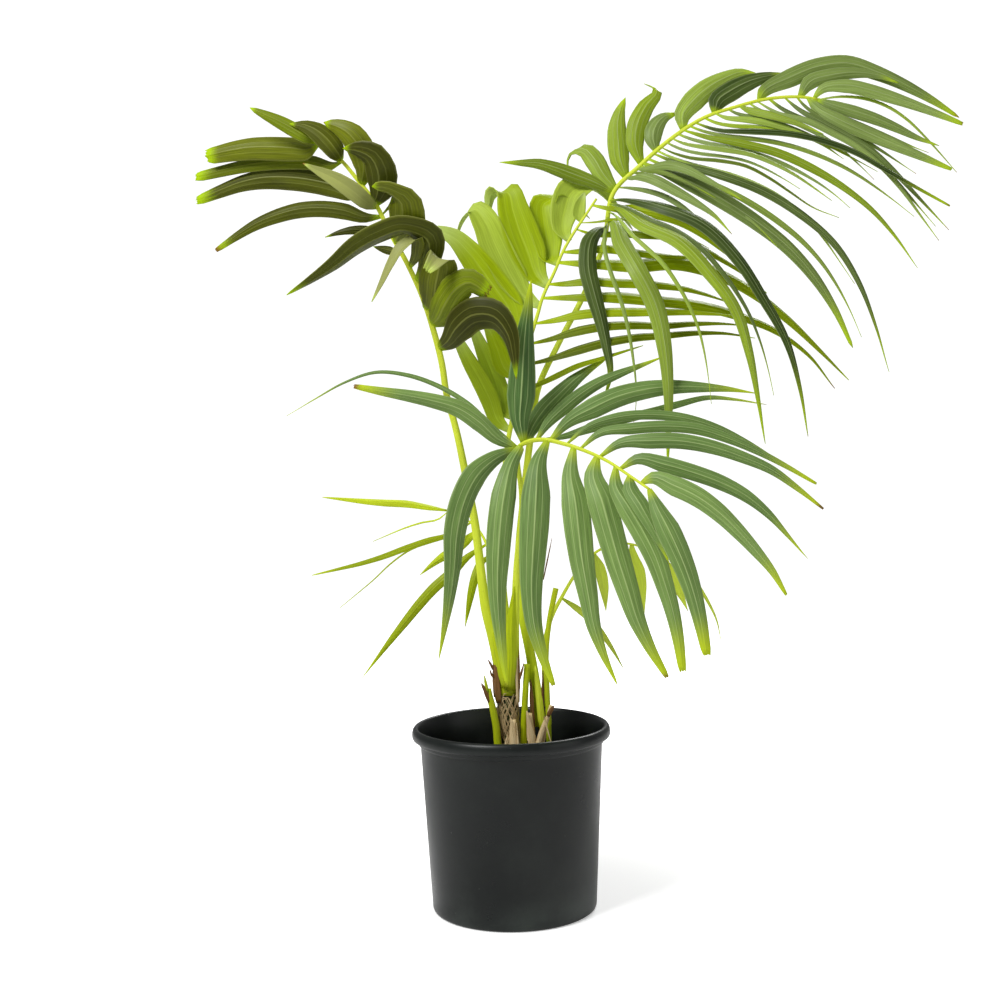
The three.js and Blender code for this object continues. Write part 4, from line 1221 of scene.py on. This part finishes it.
# Dry sheaths, torn strips and twigs round the stems: look, width in millimetres, the way the
# strip faces, and its points from foot to tip, in millimetres from the pot's axis and up from
# the top of the mix.
STRIPS = {
    "brown_wrap_left": ("dried_brown", 10, (-0.5, -1, 0),
        (-15, -12, 90), (-17, -11, 119), (-18, -9, 156)),
    "brown_wrap_edge": ("dried_brown", 5, (-1, -0.6, 0),
        (-20, -6, 96), (-21, -6, 122), (-19, -5, 146)),
    "curled_tip_left": ("dried_brown", 3, (0, -1, 0.4),
        (-20, -8, 130), (-23, -10, 137), (-27, -12, 145)),
    "curled_tip_low": ("dried_brown", 3, (0, -1, 0.4),
        (-18, -10, 120), (-23, -12, 126), (-25, -12, 133)),
    "dry_edge_right": ("dried_sheath", 4, (0.6, -1, 0),
        (9, -14, 84), (9, -13, 134), (10, -12, 178)),
    "dark_edge_right": ("dried_brown", 3, (1, -0.8, 0),
        (11, -12, 90), (12, -12, 130), (12, -11, 166)),
    "curled_tip_right": ("dried_brown", 3, (0, -1, 0.3),
        (11, -13, 116), (14, -14, 126), (18, -14, 140)),
    "dead_strip_middle": ("dried_brown", 6, (0, -1, 0),
        (28, -8, 39), (27, -8, 79), (26, -6, 118)),
    "dead_strip_right": ("dried_brown", 4, (0.5, -1, 0),
        (41, -4, 69), (41, -4, 96), (42, -3, 128)),
    "tan_wrap_front": ("dried_sheath", 10, (0, -1, 0),
        (4, -24, 0), (3, -24, 39), (0, -21, 72)),
    "tan_wrap_low": ("dried_sheath", 8, (-0.3, -1, 0),
        (-8, -22, 0), (-6, -22, 24), (-2, -20, 48)),
    "tan_wrap_orange": ("dried_sheath", 11, (0, -1, 0),
        (30, -20, -2), (26, -21, 39), (20, -22, 81)),
    "tan_wrap_right": ("dried_sheath", 7, (0.3, -1, 0),
        (34, -18, 0), (31, -20, 24), (30, -20, 50)),
    "crossing_skin": ("dried_sheath", 7, (0, -1, 0.3),
        (31, -25, 34), (40, -24, 60), (50, -22, 82)),
    "tan_strand": ("dried_sheath", 1.6, (0, -1, 0),
        (41, -24, 74), (46, -26, 54), (52, -28, 32)),
    "torn_foot_left": ("dried_sheath", 3, (0, -1, 0),
        (-14, -24, 2), (-11, -24, 24), (-5, -23, 50)),
    "torn_foot_middle": ("dried_sheath", 2.6, (0, -1, 0),
        (13, -25, 2), (9, -26, 30), (7, -24, 66)),
    "torn_foot_right": ("dried_sheath", 3.4, (0, -1, 0),
        (38, -27, 6), (29, -27, 26), (20, -25, 46)),
    "dark_cut_tip": ("dried_brown", 6, (0, -1, 0),
        (46, -24, 74), (50, -24, 81), (54, -23, 87)),
    "twig_right": ("dried_brown", 1.8, (0, -1, 0),
        (45, 2, 242), (51, 2, 268), (57, 2, 294)),
    "brown_cut_end": ("dried_brown", 6, (0, -1, 0),
        (-26, -17, 92), (-30, -17, 104), (-36, -17, 116)),
    "yellow_tip": ("sheath_yellow", 4, (0, -1, 0),
        (-28, -17, 104), (-30, -17, 114), (-32, -17, 126)),
    "broad_sheath_front": ("sheath_green", 14, (0.2, -1, 0),
        (0, -15, 106), (2, -16, 136), (4, -16, 194), (8, -17, 236)),
    "broad_sheath_left": ("sheath_green", 11, (-0.2, -1, 0),
        (-6, -16, 109), (-11, -15, 138), (-20, -15, 179)),
    "sheath_right": ("stalk_green", 9, (0, -1, 0),
        (40, -5, 48), (37, -5, 84), (32, -3, 134)),
}
STRIP_THICKNESS = 0.7 * MM
# Half widths along a strip, as shares of its half width, and how much each can differ.
STRIP_SHAPE = np.array([0.7, 0.95, 1, 1, 0.95, 0.9, 0.75, 0.5, 0.12])
STRIP_WEAR = (0.85, 1.12)


def strip(name, width, facing, points, rng):
    """A thin torn strip along its points, its middle bowed towards the way it faces."""
    line = np.array(points) * MM
    line[:, 2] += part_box("potting_mix")[1].z
    line = smooth(line, path_shares(line)[0], np.linspace(0, 1, len(STRIP_SHAPE)))
    ahead = unit(np.gradient(line, axis=0))
    side = unit(np.cross(ahead, np.array(facing, float)))
    up = unit(np.cross(side, ahead))
    half = 0.5 * width * MM * STRIP_SHAPE
    half *= rng.uniform(*STRIP_WEAR, len(half))
    leaf = {"line": line, "half": half, "side": side, "up": up, "blunt": True}
    tint = float(rng.random())
    return blade(name, leaf, STRIP_THICKNESS, tint, lime=0, dry=0, under=0, rng=rng)


class PALM_OT_strips(bpy.types.Operator):
    """Build the dry sheaths, torn strips and twigs round the stems"""

    bl_idname = "palm.strips"
    bl_label = "Dry strips"

    def execute(self, context):
        rng = np.random.default_rng(77)
        for name, (slot, width, facing, *points) in STRIPS.items():
            piece = strip(name, width, facing, points, rng)
            place(piece, look(slot), SLOT_OF.get(slot, slot))
        return {"FINISHED"}


# How brightly the camera sees the floor near the pot and away from it, and between which
# distances that changes.
FLOOR_LIFT_NEAR, FLOOR_LIFT = 0.35, 0.9
LIFT_FROM, LIFT_TO = 0.15, 0.6
FLOOR_SIZE = 30
# The sky's strength as a light, and as the camera sees it.
SKY_LIGHT, SKY_SEEN = 0.24, 1.1
# Each light's power beside the key light's, its size, its place and what it points at.
LIGHTS = {
    "key": (1.0, 1.0, (-1.4, -1.3, 2.5), (0, 0, 0.5)),
    "fill": (0.15, 2.0, (2.2, -1.2, 1.2), (0, 0, 0.5)),
    "back": (0.6, 1.2, (0.9, 1.9, 2.3), (0, 0, 0.7)),
}
# The camera stands level with the fronds, tipped down and rolled by small angles in degrees.
CAMERA_PLACE = Vector((-0.0073, -1.742, 0.575))
CAMERA_DOWN, CAMERA_ROLL = 2.0, -1.32
LENS, SENSOR_WIDTH = 50, 36


class PALM_OT_stage(bpy.types.Operator):
    """Build the floor, the lights and the camera"""

    bl_idname = "palm.stage"
    bl_label = "Stage"

    def execute(self, context):
        self.floor()
        self.sky(context.scene)
        for name, (share, size, spot, aim) in LIGHTS.items():
            lamp = bpy.data.lights.new(name, "AREA")
            lamp.energy = settings().key_power * share
            lamp.size = size
            obj = bpy.data.objects.new(name, lamp)
            obj.location = spot
            obj.rotation_euler = (Vector(aim) - Vector(spot)).to_track_quat("-Z", "Y").to_euler()
            context.scene.collection.objects.link(obj)
        self.camera(context.scene)
        context.scene.view_settings.view_transform = "Standard"
        context.scene.view_settings.look = "None"
        return {"FINISHED"}

    def floor(self):
        """A white floor, which glows for the camera alone so that it meets the sky unseen."""
        material, t = fresh_material("stage_floor")
        tone = t.mix(t.noise(t.place(), 3.0), linear("f7f7f7"), linear("fafafa"))
        ground = finish_surface(t, tone, 0.9, 0.1)
        away = t.node("ShaderNodeVectorMath", Vector=t.place())
        away.operation = "LENGTH"
        lift = t.span(away.outputs["Value"], LIFT_FROM, LIFT_TO, FLOOR_LIFT_NEAR, FLOOR_LIFT)
        glow = t.node("ShaderNodeEmission", Strength=lift)
        dark = t.node("ShaderNodeEmission", Strength=0)
        seen = t.node("ShaderNodeLightPath").outputs["Is Camera Ray"]
        shown = t.node("ShaderNodeMixShader", Fac=seen)
        t.put(shown.inputs[1], dark.outputs[0])
        t.put(shown.inputs[2], glow.outputs[0])
        both = t.node("ShaderNodeAddShader")
        t.put(both.inputs[0], ground.outputs[0])
        t.put(both.inputs[1], shown.outputs[0])
        output(t, both)
        bpy.ops.mesh.primitive_plane_add(size=FLOOR_SIZE, location=(0, 0, 0))
        floor = bpy.context.object
        floor.name = "floor"
        floor.data.materials.append(material)

    def sky(self, scene):
        """A white sky that lights the plant less than the camera sees of it."""
        world = bpy.data.worlds.new("studio")
        scene.world = world
        world.use_nodes = True
        background = world.node_tree.nodes["Background"]
        background.inputs["Color"].default_value = (1, 1, 1, 1)
        t = Tree(world.node_tree)
        seen = t.node("ShaderNodeLightPath").outputs["Is Camera Ray"]
        strength = t.math("ADD", t.times(seen, SKY_SEEN - SKY_LIGHT), SKY_LIGHT)
        t.put(background.inputs["Strength"], strength)

    def camera(self, scene):
        """A camera with a plain lens in front of the pot."""
        camera = bpy.data.cameras.new("camera")
        camera.lens = LENS
        camera.sensor_width = SENSOR_WIDTH
        obj = bpy.data.objects.new("camera", camera)
        scene.collection.objects.link(obj)
        turn = Matrix.Rotation(math.radians(90 - CAMERA_DOWN), 4, "X")
        roll = Matrix.Rotation(math.radians(CAMERA_ROLL), 4, "Z")
        obj.matrix_world = Matrix.Translation(CAMERA_PLACE) @ turn @ roll
        scene.camera = obj


class PALM_PT_panel(bpy.types.Panel):
    """Buttons that build the palm piece by piece"""

    bl_label = "Potted palm"
    bl_idname = "PALM_PT_panel"
    bl_space_type = "VIEW_3D"
    bl_region_type = "UI"
    bl_category = "Palm"

    def draw(self, context):
        for operator in OPERATORS:
            self.layout.operator(operator.bl_idname)
        for key in PalmSettings.__annotations__:
            self.layout.prop(context.scene.palm_settings, key)


OPERATORS = (
    PALM_OT_pot, PALM_OT_mix, PALM_OT_stalks, PALM_OT_leaflets, PALM_OT_stems, PALM_OT_strips,
    PALM_OT_stage,
)
CLASSES = (PalmSettings, *OPERATORS, PALM_PT_panel)


def register():
    for cls in CLASSES:
        bpy.utils.register_class(cls)
    bpy.types.Scene.palm_settings = PointerProperty(type=PalmSettings)


def unregister():
    del bpy.types.Scene.palm_settings
    for cls in reversed(CLASSES):
        bpy.utils.unregister_class(cls)


def main():
    register()
    bpy.ops.palm.pot()
    bpy.ops.palm.mix()
    bpy.ops.palm.stalks()
    bpy.ops.palm.leaflets()
    bpy.ops.palm.stems()
    bpy.ops.palm.strips()
    bpy.ops.palm.stage()


if __name__ == "__main__":
    main()
